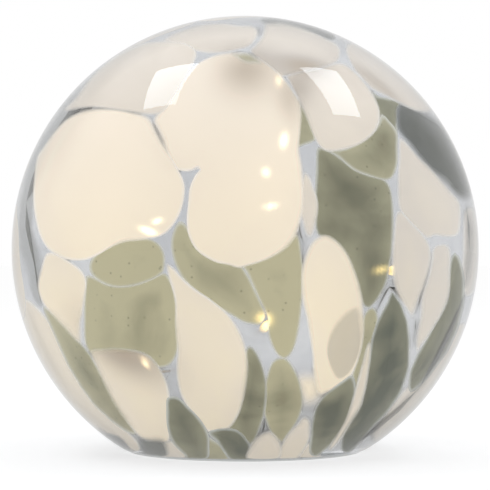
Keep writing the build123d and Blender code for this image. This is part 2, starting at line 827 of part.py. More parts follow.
# A chip on the wire in the middle of each run, and the resin drop over it
led_places = []
for start, end in list(zip(led_route, led_route[1:]))[dark_run_count:-1]:
    run = Vector(*end) - Vector(*start)
    middle = (Vector(*start) + Vector(*end)) / 2
    led_places.append(Plane(origin=middle, z_dir=run))
with BuildPart() as led_bead:
    with BuildSketch(Plane.XZ):
        Ellipse(led_bead_radius, led_bead_half_length)
        Rectangle(
            2 * led_bead_radius,
            2 * led_bead_half_length,
            align=(Align.MIN, Align.CENTER),
            mode=Mode.INTERSECT,
        )
    revolve(axis=Axis.Z)
    with BuildSketch(Plane.XY.offset(-led_bead_half_length)):
        Circle(led_wire_radius + led_bead_fit)
    extrude(amount=2 * led_bead_half_length, mode=Mode.SUBTRACT)
    Box(
        led_chip_width + 2 * led_bead_fit,
        led_wire_radius + led_chip_height + 2 * led_bead_fit,
        led_chip_length + 2 * led_bead_fit,
        align=(Align.CENTER, Align.MIN, Align.CENTER),
        mode=Mode.SUBTRACT,
    )
with BuildPart() as led_beads:
    with Locations(*led_places):
        add(led_bead.part)
finish(led_beads, "led_beads")

with BuildPart() as led_chips:
    with Locations(*led_places):
        with Locations((0, led_wire_radius + led_bead_fit, 0)):
            Box(
                led_chip_width,
                led_chip_height,
                led_chip_length,
                align=(Align.CENTER, Align.MIN, Align.CENTER),
            )
finish(led_chips, "led_chips")


def least_self_gap(path, wire_radius):
    """Least clear gap between two stretches of one tube, measured on points along it."""
    count = round(path.length / wire_radius)
    points = [path @ (i / count) for i in range(count + 1)]
    apart = math.ceil(4 * math.pi)
    nearest = min(
        (points[i] - points[j]).length
        for i in range(0, len(points), 2)
        for j in range(i + apart, len(points), 2)
    )
    return nearest - 2 * wire_radius


string_line = led_path.wire()
string_volume = math.pi * led_wire_radius**2 * string_line.length
print("string length", round(string_line.length, 1), "lights", len(led_places))
print("string volume", round(led_wire.part.volume, 1), "of", round(string_volume, 1))
print("string bend radii", [round(radius, 1) for radius in led_radii])
print("string least gap", round(least_self_gap(string_line, led_wire_radius), 2))
print("spring least gap", round(least_self_gap(spring_path.wire(), spring_wire_radius), 2))
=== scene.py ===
# %% [markdown]
# # A mottled glass ball light
# The light is a thick blown ball with milky spots fused into clear glass. It stands over a
# small battery unit, and a string of warm lights is wound loosely inside it.
# The solid model comes first: every new piece is built around it, in metres and in its frame.

import bpy
import numpy as np
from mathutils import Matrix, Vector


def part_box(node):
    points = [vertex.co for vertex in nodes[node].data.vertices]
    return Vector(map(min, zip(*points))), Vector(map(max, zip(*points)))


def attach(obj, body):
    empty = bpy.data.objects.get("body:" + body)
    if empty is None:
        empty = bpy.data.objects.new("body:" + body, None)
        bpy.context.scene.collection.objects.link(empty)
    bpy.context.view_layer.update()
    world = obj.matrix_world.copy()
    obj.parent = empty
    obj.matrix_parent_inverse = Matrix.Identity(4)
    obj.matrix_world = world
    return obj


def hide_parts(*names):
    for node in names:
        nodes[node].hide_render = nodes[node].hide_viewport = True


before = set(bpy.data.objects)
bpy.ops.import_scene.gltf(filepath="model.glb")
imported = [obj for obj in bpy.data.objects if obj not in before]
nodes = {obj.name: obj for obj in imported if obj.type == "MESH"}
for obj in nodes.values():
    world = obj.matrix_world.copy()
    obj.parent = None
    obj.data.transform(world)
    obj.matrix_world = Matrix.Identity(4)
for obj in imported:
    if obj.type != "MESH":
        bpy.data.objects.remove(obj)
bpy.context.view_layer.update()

# %% [markdown]
# ## The camera
# A long lens, level with the ball's middle, keeps the outline a true circle. The same numbers
# are used again below, to follow a ray from a pixel of the picture into the glass.

# %% Camera
picture_size = 490
lens_mm = 153.8
sensor_mm = 36.0
eye = np.array([0.0, -0.675, 0.066])

camera_data = bpy.data.cameras.new("camera")
camera_data.lens = lens_mm
camera_data.sensor_width = sensor_mm
camera = bpy.data.objects.new("camera", camera_data)
camera.location = eye
camera.rotation_euler = (np.pi / 2, 0.0, 0.0)
bpy.context.scene.collection.objects.link(camera)
bpy.context.scene.camera = camera
print("camera at", eye.tolist())

# %% [markdown]
# ## The string of lights
# Two fine lacquered wires are laid together, and a drop of clear resin covers each light. The
# string leaves the battery unit through its grommet and winds up the inside of the ball. A
# NURBS curve of order 3 touches every run of its control points at the middle of the run, so
# the drops, which sit at those middles on the solid model, lie on the curve as well.

# %% Route of the string
string_route = np.array([
    (0, 23.2, 9.6), (0, 23.2, 31), (-26, 22, 34), (-44, -10, 26), (-12, -50, 28.5),
    (25, -54, 56), (65, -11, 60.5), (54, 38, 62.5), (11, 64, 64), (-37, 53, 65.5),
    (-63, 11, 67), (-54, -36, 68), (-9, -62, 73), (25, -54, 84.5), (54.5, -20, 87),
    (51, 27, 88.5), (17, 54, 90), (-26, 49, 91.5), (-52, 16, 93.5), (-47, -25, 96),
    (-14, -48, 98), (38, -30, 102), (44, 12, 104), (18, 40, 107), (-20, 37, 110),
    (-39, 6, 113), (-25, -26, 116), (0, -34, 118), (22, -22, 121), (28, -4, 122),
]) / 1000
wire_radius = 0.0004
first_lit_run = 3


def string_curve(name, bevel):
    """One open NURBS spline with the route's points as its control points."""
    data = bpy.data.curves.new(name, "CURVE")
    data.dimensions = "3D"
    data.resolution_u = 16
    spline = data.splines.new("NURBS")
    spline.points.add(len(string_route) - 1)
    spline.points.foreach_set("co", np.c_[string_route, np.ones(len(string_route))].ravel())
    spline.order_u = 3
    spline.use_endpoint_u = True
    data.bevel_depth = bevel
    data.bevel_resolution = 3
    data.use_fill_caps = True
    return bpy.data.objects.new(name, data)


string_wire = string_curve("string_wire", wire_radius)
bpy.context.scene.collection.objects.link(string_wire)

bare_line = string_curve("bare_line", 0.0)
line_mesh = bpy.data.meshes.new_from_object(bare_line)
line_points = np.empty(3 * len(line_mesh.vertices))
line_mesh.vertices.foreach_get("co", line_points)
line_points = line_points.reshape(-1, 3)
bpy.data.objects.remove(bare_line)
bpy.data.meshes.remove(line_mesh)
string_length = np.linalg.norm(np.diff(line_points, axis=0), axis=1).sum()
print("string length", round(string_length, 4), "m on", len(line_points), "points")

# %% [markdown]
# ## From arrays to a mesh
# Every new piece here is a stack of rings: a first point, then rings of points that go round,
# then a last point. One function joins such a stack into a closed mesh, whatever its shape.

# %% Mesh from rings
sharp_angle = np.radians(40)


def joined_rings(ring_count, ring_size):
    """Faces of a stack of rings between two end points: a fan, bands of quads, and a fan.
    The first point has index 0, ring k starts at 1 + k * ring_size, the last point follows."""
    here = np.arange(ring_size)
    after = (here + 1) % ring_size
    last = 1 + ring_count * ring_size
    first_fan = np.stack([np.zeros(ring_size, int), 1 + here, 1 + after], 1)
    low = 1 + ring_size * np.arange(ring_count - 1)[:, None]
    bands = np.stack(
        [low + here, low + ring_size + here, low + ring_size + after, low + after], 2
    ).reshape(-1, 4)
    end = last - ring_size
    last_fan = np.stack([end + here, np.full(ring_size, last), end + after], 1)
    return first_fan.tolist() + bands.tolist() + last_fan.tolist()


def make_piece(name, parts):
    """One object from a list of (points, faces, marks): the lists are put end to end, and each
    named mark becomes a value on the points, which a material can read."""
    counts = np.cumsum([0] + [len(points) for points, _, _ in parts])
    points = np.concatenate([points for points, _, _ in parts])
    faces = [
        [corner + int(start) for corner in face]
        for start, (_, part_faces, _) in zip(counts, parts)
        for face in part_faces
    ]
    mesh = bpy.data.meshes.new(name)
    mesh.from_pydata(points.tolist(), [], faces)
    for mark in parts[0][2]:
        values = np.concatenate([marks[mark] for _, _, marks in parts]).astype(np.float32)
        mesh.attributes.new(mark, "FLOAT", "POINT").data.foreach_set("value", values)
    mesh.polygons.foreach_set("use_smooth", np.full(len(mesh.polygons), True))
    mesh.set_sharp_from_angle(angle=sharp_angle)
    mesh.update()
    piece = bpy.data.objects.new(name, mesh)
    bpy.context.scene.collection.objects.link(piece)
    triangles = sum(len(face) - 2 for face in faces)
    print(name, len(points), "points", triangles, "triangles")
    return piece

# %% [markdown]
# ## The resin drops
# Each drop is a small ellipsoid along the wire, drawn out at both ends where the resin ran
# along it. It is lit from the chip inside, on the side that the chip faces.

# %% Resin drops
drop_radius = 0.0015
drop_half_length = 0.0026
drop_rings, drop_sides = 11, 24
shine_base, shine_gain, shine_end_loss = 0.35, 0.75, 0.5
front_y = -0.02
toward_viewer = np.array([0.0, -1.0, 0.0])
ball_centre = np.array([0.0, 0.0, 0.0646])

drop_middles = (string_route[first_lit_run:-2] + string_route[first_lit_run + 1:-1]) / 2
nearest = np.linalg.norm(line_points[None] - drop_middles[:, None], axis=2).argmin(axis=1)
drop_axes = line_points[nearest + 1] - line_points[nearest - 1]
drop_axes /= np.linalg.norm(drop_axes, axis=1, keepdims=True)
outward = drop_middles - ball_centre
outward /= np.linalg.norm(outward, axis=1, keepdims=True)
facing = np.where(drop_middles[:, 1:2] < front_y, toward_viewer, outward)


def resin_drop(middle, axis, face):
    """Ellipsoid about the wire: radius = width * sin(t)^0.8 and place = length * cos(t) along
    the axis, for t from 0 to pi. The mark shine is how far a point lies to the lit side."""
    across = np.cross(axis, face)
    across /= np.linalg.norm(across)
    up = np.cross(across, axis)
    t = np.linspace(0, np.pi, drop_rings + 2)[1:-1, None]
    u = np.linspace(0, 2 * np.pi, drop_sides, endpoint=False)[None]
    width = drop_radius * np.sin(t) ** 0.8
    rings = (
        (drop_half_length * np.cos(t) * np.ones_like(u))[..., None] * axis
        - (width * np.cos(u))[..., None] * across
        + (width * np.sin(u))[..., None] * up
    )
    points = np.concatenate(
        [[drop_half_length * axis], rings.reshape(-1, 3), [-drop_half_length * axis]]
    )
    toward = points @ face / drop_radius
    along = np.abs(points @ axis) / drop_half_length
    shine = np.clip(shine_base + shine_gain * toward, 0.0, 1.0) * (1.0 - shine_end_loss * along)
    return middle + points, joined_rings(drop_rings, drop_sides), {"shine": shine}


drops = make_piece(
    "resin_drops", [resin_drop(*each) for each in zip(drop_middles, drop_axes, facing)]
)

# %% [markdown]
# ## The glass wall
# The wall is turned from one section: down the outside, round the ground rim, up the bore and
# back over the inside. A blown wall is never quite even, so a few slow waves move both faces by
# up to 0.3 mm. They bend the reflections in the way that tells the eye it is glass.

# %% Glass ball
ball_radius = 0.075
inside_radius = 0.071
glass_index = 1.5
rim_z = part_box("glass_ball")[0][2]
bore_radius = 0.0353
rim_bevel = 0.0005
bevel_angle = 0.006
arc_steps, wall_sides = 150, 256
outer_wave, inner_wave = 0.00018, 0.00030
outer_seed, inner_seed = 3, 5
wave_start, wave_ramp = -0.8, 0.3


def slow_waves(directions, seed, count=7):
    """Sum of a few cosine waves over the directions, each with its own heading and phase."""
    rng = np.random.default_rng(seed)
    heading = rng.normal(size=(count, 3)) * rng.uniform(1.5, 4.0, (count, 1))
    phase = rng.uniform(0, 2 * np.pi, count)
    return np.cos(directions @ heading.T + phase).mean(axis=-1)


def glass_wall():
    """Section (radius, height) turned about the axis: two arcs about the ball's centre, joined
    over the bevelled rim. The faces move along their own radius by the slow waves."""
    rim_drop = ball_centre[2] - rim_z
    rim_angle = np.arcsin(rim_drop / ball_radius)
    bore_angle = np.arccos(bore_radius / inside_radius)
    down = np.linspace(np.pi / 2, -rim_angle + bevel_angle, arc_steps)[1:]
    up = np.linspace(-bore_angle, np.pi / 2, arc_steps)[:-1]
    rim_radius = ball_radius * np.cos(rim_angle)
    outer = ball_radius * np.c_[np.cos(down), np.sin(down)]
    inner = inside_radius * np.c_[np.cos(up), np.sin(up)]
    foot = np.array([
        (rim_radius - 0.2 * rim_bevel, -rim_drop + 0.3 * rim_bevel),
        (rim_radius - rim_bevel, -rim_drop),
        (bore_radius + rim_bevel, -rim_drop),
        (bore_radius + 0.1 * rim_bevel, -rim_drop + 0.3 * rim_bevel),
        (bore_radius, -rim_drop + rim_bevel),
    ])
    section = np.concatenate([outer, foot, inner])
    turn = np.linspace(0, 2 * np.pi, wall_sides, endpoint=False)[None]
    rings = np.stack([
        section[:, :1] * np.cos(turn), section[:, :1] * np.sin(turn),
        section[:, 1:] + np.zeros_like(turn),
    ], 2)
    length = np.linalg.norm(rings, axis=2, keepdims=True)
    headings = rings / length
    fade = np.clip((headings[..., 2:] - wave_start) / wave_ramp, 0, 1)
    depth = np.concatenate([
        np.full(len(outer), outer_wave), np.zeros(len(foot)), np.full(len(inner), -inner_wave),
    ])[:, None, None]
    waves = np.concatenate([
        slow_waves(headings[:len(outer)], outer_seed), np.zeros((len(foot), turn.size)),
        slow_waves(headings[-len(inner):], inner_seed),
    ])[..., None]
    rings = rings - headings * fade * depth * (0.5 + 0.5 * waves)
    top, under = rings[0].mean(axis=0), rings[-1].mean(axis=0)
    points = ball_centre + np.concatenate([[top], rings.reshape(-1, 3), [under]])
    return points, joined_rings(len(section), turn.size), {}


glass = make_piece("glass_ball_wall", [glass_wall()])

# %% [markdown]
# ## Where a pixel meets the glass
# A spot is drawn as a closed outline in the picture. To find its place in the wall, a ray goes
# from the lens through each pixel, bends at the outer face as light does, and runs on until it
# meets the sphere that the spot lies on. Past the outline of the ball, the ray is carried on
# round the back, so that a spot at the edge wraps around it.

# %% Rays from the picture into the wall
picture_middle = np.array([245.1, 249.4])
outline_pixels = 233.5
pixel = 0.0003205
millimetres = 1000


def wall_direction(pixels, depth):
    """Unit direction, seen from the ball's centre, of the point at a depth in the wall that shows
    at a pixel. Snell: bent = ray / n + (cos(in) / n - cos(out)) * normal."""
    from_middle = pixels - picture_middle
    away = np.linalg.norm(from_middle, axis=-1, keepdims=True)
    past = np.maximum(away - outline_pixels, 0.0)
    pixels = picture_middle + from_middle * np.minimum(1.0, outline_pixels / np.maximum(away, 1e-6))
    scale = sensor_mm / lens_mm / picture_size
    half = picture_size / 2
    ray = np.stack([
        (pixels[..., 0] - half) * scale, np.ones(pixels.shape[:-1]), (half - pixels[..., 1]) * scale,
    ], -1)
    ray /= np.linalg.norm(ray, axis=-1, keepdims=True)
    start = eye - ball_centre
    middle_way = -(ray @ start)
    reach = np.maximum(middle_way**2 - start @ start + ball_radius**2, 0.0)
    hit = start + (middle_way - np.sqrt(reach))[..., None] * ray
    normal = hit / np.linalg.norm(hit, axis=-1, keepdims=True)
    cos_in = -(ray * normal).sum(-1, keepdims=True)
    cos_out = np.sqrt(1 - (1 - cos_in**2) / glass_index**2)
    bent = ray / glass_index + (cos_in / glass_index - cos_out) * normal
    layer = ball_radius - depth
    toward = -(hit * bent).sum(-1)
    run = toward - np.sqrt(toward**2 - (hit**2).sum(-1) + layer**2)
    place = hit + run[..., None] * bent
    place /= np.linalg.norm(place, axis=-1, keepdims=True)
    turn = past * pixel / ball_radius
    back = np.array([0.0, 1.0, 0.0])
    place = place * np.cos(turn) + back * np.sin(turn)
    return place / np.linalg.norm(place, axis=-1, keepdims=True)


squeeze_from, squeeze_to = np.radians(-56.0), np.radians(-58.8)


def above_rim(directions):
    """The same directions, with the ones below 56 degrees squeezed so that none passes 59 degrees,
    where the wall ends: lower = from + room * (1 - exp(-(angle - from) / room))."""
    angle = np.arcsin(np.clip(directions[..., 2], -1, 1))
    room = squeeze_from - squeeze_to
    below = np.maximum(squeeze_from - angle, 0.0)
    angle = np.where(below > 0, squeeze_from - room * (1 - np.exp(-below / room)), angle)
    flat = directions[..., :2]
    flat = flat / np.maximum(np.linalg.norm(flat, axis=-1, keepdims=True), 1e-9)
    return np.concatenate([flat * np.cos(angle)[..., None], np.sin(angle)[..., None]], -1)


middle_meets = wall_direction(np.full((1, 2), picture_size / 2), 0.001)
print("middle of the picture meets", middle_meets.round(3).tolist())

# %% [markdown]
# ## The shape of a spot
# On the hot ball, a chip of coloured glass melts into a thin lens inside the wall. So each spot
# is a lens: thick in the middle and drawn to nothing at its edge. The distance to that edge is
# kept on the points, and the finish uses it to let the colour thin out there.

# %% Spot shapes
spot_step = 0.0011
loop_sizes, row_counts = (32, 180), (5, 24)
stripe_loop, stripe_rows, stripe_core = 120, 11, 0.94
spine_steps, end_power = 6, 6
lens_rise = 0.00005


def smooth_loop(corners, each=10):
    """Closed curve through the corners: between two of them, the cubic whose slope at each
    corner is half the step between its neighbours."""
    p0, p1 = np.roll(corners, 1, axis=0), corners
    p2, p3 = np.roll(corners, -1, axis=0), np.roll(corners, -2, axis=0)
    t = np.linspace(0, 1, each, endpoint=False)[None, :, None]
    p0, p1, p2, p3 = (p[:, None] for p in (p0, p1, p2, p3))
    curve = 0.5 * (
        2 * p1 + (p2 - p0) * t + (2 * p0 - 5 * p1 + 4 * p2 - p3) * t**2
        + (3 * p1 - p0 - 3 * p2 + p3) * t**3
    )
    return curve.reshape(-1, 2)


def even_loop(loop, count):
    """The same closed curve with its points spaced evenly, anticlockwise as it is seen."""
    closed = np.concatenate([loop, loop[:1]])
    x, y = closed.T
    if (x[:-1] * y[1:] - x[1:] * y[:-1]).sum() > 0:
        closed = closed[::-1]
    steps = np.r_[0, np.cumsum(np.linalg.norm(np.diff(closed, axis=0), axis=1))]
    at = np.linspace(0, steps[-1], count, endpoint=False)
    return np.stack([np.interp(at, steps, closed[:, 0]), np.interp(at, steps, closed[:, 1])], 1)


def lens_spot(directions, inset, depth, tone, cover=1.0, thickness=lens_rise):
    """Closed lens from rows of directions that go from a middle out to the edge: radius = layer
    + thickness * sqrt(1 - v^2) on the way out, and layer - the same on the way back."""
    row_count, ring_size = directions.shape[:2]
    v = np.linspace(0, 1, row_count)[:, None, None]
    rise = thickness * np.sqrt(1 - v**2)
    layer = ball_radius - depth
    directions = above_rim(directions)
    top = directions * (layer + rise)
    under = directions * (layer - rise)
    rings = np.concatenate([top[1:], under[-2:0:-1]])
    points = np.concatenate([[top[0, 0]], rings.reshape(-1, 3), [under[0, 0]]])
    edge = np.concatenate([inset[1:], inset[-2:0:-1]]).reshape(-1)
    marks = {
        "inset": np.r_[inset[0, 0], edge, inset[0, 0]],
        "tone": np.full(len(points), tone),
        "cover": np.full(len(points), cover),
    }
    return ball_centre + points, joined_rings(len(rings), ring_size), marks


def edge_distance(grid, loop):
    """Distance in millimetres from every point of a grid to the nearest point of its outline."""
    steps = np.linalg.norm(grid[:, :, None] - loop[None, None], axis=3).min(axis=2)
    steps[-1] = 0.0
    return steps * pixel * millimetres


def drawn_spot(corners, depth, tone, growth, crisp, cover):
    """Lens inside a closed outline of the picture: rows at v from its middle to the outline, which
    first grows by some pixels, since the colour has half faded at the line that the eye draws."""
    loop = smooth_loop(np.asarray(corners, float))
    length = np.linalg.norm(np.diff(loop, axis=0), axis=1).sum() * pixel
    loop = even_loop(loop, int(np.clip(length / spot_step, *loop_sizes)))
    middle = loop.mean(axis=0)
    spokes = np.linalg.norm(loop - middle, axis=1)
    loop = middle + (loop - middle) * (1 + growth / spokes)[:, None]
    rows = int(np.clip(spokes.mean() * pixel / spot_step, *row_counts)) + 1
    v = np.linspace(0, 1, rows)[:, None, None]
    grid = middle + v * (loop - middle)[None]
    return lens_spot(wall_direction(grid, depth), crisp * edge_distance(grid, loop), depth, tone, cover)


def drawn_stripe(spine, half_widths, depth, tone, growth, crisp, cover):
    """Long spot: an outline that keeps a half width to both sides of a smooth spine. Each edge point
    looks at the nearest point of the spine, so a bent stripe doesn't fold."""
    spine = np.asarray(spine, float)
    at = np.arange(len(spine))
    fine = np.linspace(0, len(spine) - 1, spine_steps * len(spine))
    line = np.stack([np.interp(fine, at, spine[:, k]) for k in (0, 1)], 1)
    slope = np.gradient(line, axis=0)
    slope /= np.linalg.norm(slope, axis=1, keepdims=True)
    side = np.stack([-slope[:, 1], slope[:, 0]], 1)
    rounding = np.sqrt(1 - np.linspace(-1, 1, len(line)) ** end_power)
    side *= ((np.interp(fine, at, half_widths) + growth) * rounding)[:, None]
    loop = even_loop(np.concatenate([line + side, (line - side)[::-1]]), stripe_loop)
    foot = line[np.linalg.norm(loop[:, None] - line[None], axis=2).argmin(axis=1)]
    middle = line[len(line) // 2]
    home = middle + stripe_core * (foot - middle)
    along = np.linspace(0, 1, stripe_rows)[:, None, None]
    to_home = middle + 2 * along * (home - middle)
    to_edge = home + (2 * along - 1) * (loop - home)
    grid = np.where(along < 0.5, to_home, to_edge)
    return lens_spot(wall_direction(grid, depth), crisp * edge_distance(grid, loop), depth, tone, cover)

# %% [markdown]
# ## The ivory spots of the front
# The outlines are read off the picture, in pixels, one for each spot. Before it stand how
# deep the spot lies in the wall and its tone, from warm white to grey. Long spots are drawn as
# stripes, with a half width for each point. Veils are spots that fade out widely.

# %% Ivory spots of the front
top_layer, upper, middle_layer, lower = 0.0004, 0.0007, 0.0016, 0.0024
layer_step, layers_in_turn = 0.00011, 7


def staggered(drawn, spots, growth, crisp=1.0, cover=1.0):
    """Draws every spot of a set, each a little deeper than the one before, so that none touch. The
    outline grows by some pixels, crisp scales the distance to the edge, and cover is the opacity."""
    return [
        drawn(*shape, depth + layer_step * (index % layers_in_turn), tone, growth, crisp, cover)
        for index, (depth, tone, *shape) in enumerate(spots.values())
    ]


ivory_outlines = {
    "top_left_band": (upper, 0.5, [
        (66, 110), (78, 96), (92, 80), (107, 66), (124, 55), (146, 46), (166, 43), (184, 46),
        (193, 54), (188, 68), (179, 82), (170, 97), (160, 110), (146, 112), (128, 108), (108, 106),
        (86, 107),
    ]),
    "left_big": (upper, 0.05, [
        (40, 161), (46, 150), (57, 134), (70, 121), (87, 113), (108, 112), (130, 115), (147, 120),
        (155, 134), (164, 151), (173, 168), (180, 183), (180, 197), (176, 212), (168, 225),
        (159, 233), (142, 237), (123, 239), (108, 245), (98, 251), (86, 256), (70, 256), (58, 251),
        (49, 244), (42, 230), (38, 211), (37, 188),
    ]),
    "top": (upper, 0.6, [
        (164, 42), (178, 32), (197, 27), (216, 26), (236, 26), (251, 26), (255, 33), (252, 41),
        (245, 47), (232, 50), (214, 50), (197, 48), (182, 45),
    ]),
    "cap": (upper, 0.05, [
        (156, 122), (163, 138), (171, 155), (178, 167), (186, 170), (195, 170), (204, 167),
        (198, 175), (193, 186), (191, 200), (189, 215), (190, 230), (198, 246), (214, 257),
        (229, 261), (238, 264), (247, 262), (263, 257), (281, 248), (293, 236), (298, 222),
        (300, 204), (300, 185), (299, 166), (296, 150), (297, 133), (299, 117), (298, 104),
        (292, 94), (284, 83), (274, 73), (264, 65), (252, 58), (238, 55), (224, 56), (210, 61),
        (196, 70), (185, 83), (175, 97), (165, 110),
    ]),
    "top_right_band": (upper, 0.65, [
        (267, 25), (284, 25), (302, 31), (320, 38), (333, 44), (337, 53), (334, 62), (320, 67),
        (303, 69), (288, 73), (277, 73), (266, 63), (254, 54), (254, 48), (262, 41), (266, 33),
    ]),
    "upper_right_quad": (upper, 0.5, [
        (289, 77), (303, 71), (321, 69), (340, 66), (352, 73), (363, 85), (371, 97), (376, 111),
        (375, 123), (369, 133), (356, 142), (338, 147), (326, 147), (318, 139), (314, 129),
        (309, 116), (302, 102), (294, 89),
    ]),
    "right": (upper, 0.7, [
        (401, 141), (410, 148), (422, 162), (436, 178), (449, 192), (456, 200), (458, 214),
        (456, 231), (445, 234), (434, 232), (427, 235), (416, 224), (404, 210), (401, 195),
        (401, 165),
    ]),
    "right_middle": (upper, 0.7, [
        (397, 217), (402, 214), (412, 226), (423, 240), (427, 249), (427, 262), (423, 282),
        (418, 300), (413, 315), (407, 308), (400, 296), (396, 284), (395, 262), (395, 238),
    ]),
    "right_outer": (upper, 0.75, [
        (432, 252), (439, 248), (446, 248), (450, 254), (449, 275), (446, 295), (440, 312),
        (432, 329), (423, 344), (418, 352), (416, 340), (419, 322), (423, 305), (428, 280),
        (431, 264),
    ]),
    "left_long": (upper, 0.2, [
        (48, 257), (58, 258), (68, 265), (79, 274), (83, 284), (81, 300), (80, 318), (81, 334),
        (81, 343), (72, 336), (63, 325), (54, 313), (46, 302), (41, 288), (43, 270),
    ]),
    "lower_left_spot": (upper, 0.3, [
        (92, 356), (108, 351), (126, 352), (145, 357), (156, 368), (164, 386), (167, 412),
        (168, 436), (163, 441), (153, 440), (139, 434), (126, 417), (114, 398),
    ]),
    "teardrop": (upper, 0.3, [
        (166, 266), (170, 281), (176, 302), (178, 330), (180, 350), (179, 371), (182, 391),
        (191, 408), (200, 420), (208, 428), (216, 429), (228, 425), (236, 414), (241, 400),
        (244, 385), (245, 365), (242, 346), (236, 331), (226, 317), (212, 305), (196, 293),
        (183, 281), (174, 270),
    ]),
    "long_right": (upper, 0.15, [
        (303, 276), (306, 258), (313, 244), (325, 238), (337, 244), (347, 257), (354, 275),
        (359, 295), (361, 312), (361, 332), (358, 352), (351, 371), (340, 382), (328, 390),
        (317, 391), (313, 370), (313, 345), (310, 320), (305, 300),
    ]),
    "sliver_middle": (upper, 0.55, [
        (303, 176), (309, 178), (313, 192), (315, 208), (315, 224), (311, 235), (306, 233),
        (303, 221), (302, 205), (302, 190),
    ]),
    "foot_one": (upper, 0.5, [
        (249, 458), (253, 446), (260, 438), (269, 434), (276, 440), (278, 447), (276, 458),
        (262, 462),
    ]),
    "foot_two": (upper, 0.5, [
        (277, 458), (284, 445), (293, 431), (301, 420), (306, 420), (309, 426), (306, 439),
        (299, 453), (294, 461), (284, 462),
    ]),
    "foot_three": (upper, 0.6, [
        (299, 459), (307, 448), (317, 443), (320, 446), (317, 453), (312, 461),
    ]),
    "foot_left": (upper, 0.7, [
        (163, 446), (172, 444), (181, 450), (189, 458), (190, 463), (170, 462),
    ]),
}
ivory_stripes = {
    "sliver": (upper, 0.5, [
        (370, 340), (367, 360), (362, 384), (356, 405), (347, 423), (338, 438), (328, 452),
    ], [0.6, 1.2, 2.2, 3.4, 1.8, 1.4, 2.0]),
    "upper_right_edge": (upper, 0.6, [
        (346, 43), (364, 59), (382, 74), (401, 88), (420, 102), (434, 112),
    ], [6.0, 13.0, 16.0, 12.0, 8.0, 4.0]),
    "right_rim": (lower, 0.85, [
        (468, 205), (475, 228), (476, 252), (473, 276), (466, 298),
    ], [5.0, 9.0, 10.0, 9.0, 4.0]),
    "right_low_rim": (lower, 0.75, [
        (465, 321), (453, 351), (437, 379), (417, 404), (394, 426), (371, 443),
    ], [8.0, 9.0, 12.0, 17.0, 13.0, 9.0]),
    "lower_left_edge": (lower, 0.5, [
        (22, 297), (31, 327), (44, 356), (61, 383), (81, 408), (105, 429), (124, 443), (142, 454),
    ], [8.0, 18.0, 18.0, 16.0, 13.0, 11.0, 9.0, 7.0]),
}
ivory_veils = {
    "unit_top": (lower, 0.0, [
        (294, 376), (306, 371), (320, 375), (326, 392), (318, 406), (303, 408), (294, 394),
    ]),
}
ivory_parts = (
    staggered(drawn_spot, ivory_outlines, growth=5.0)
    + staggered(drawn_stripe, ivory_stripes, growth=4.0)
    + staggered(drawn_spot, ivory_veils, growth=4.0, crisp=0.3)
)
print("ivory spots of the front:", len(ivory_parts))

# %% [markdown]
# ## The olive and slate spots of the front
# The darker chips are a grey green that turns to slate where they are thick. Towards the foot
# they are drawn out into leaves, because the ball was pulled there as it was blown. Thin slate
# threads lie where two chips were pressed together.

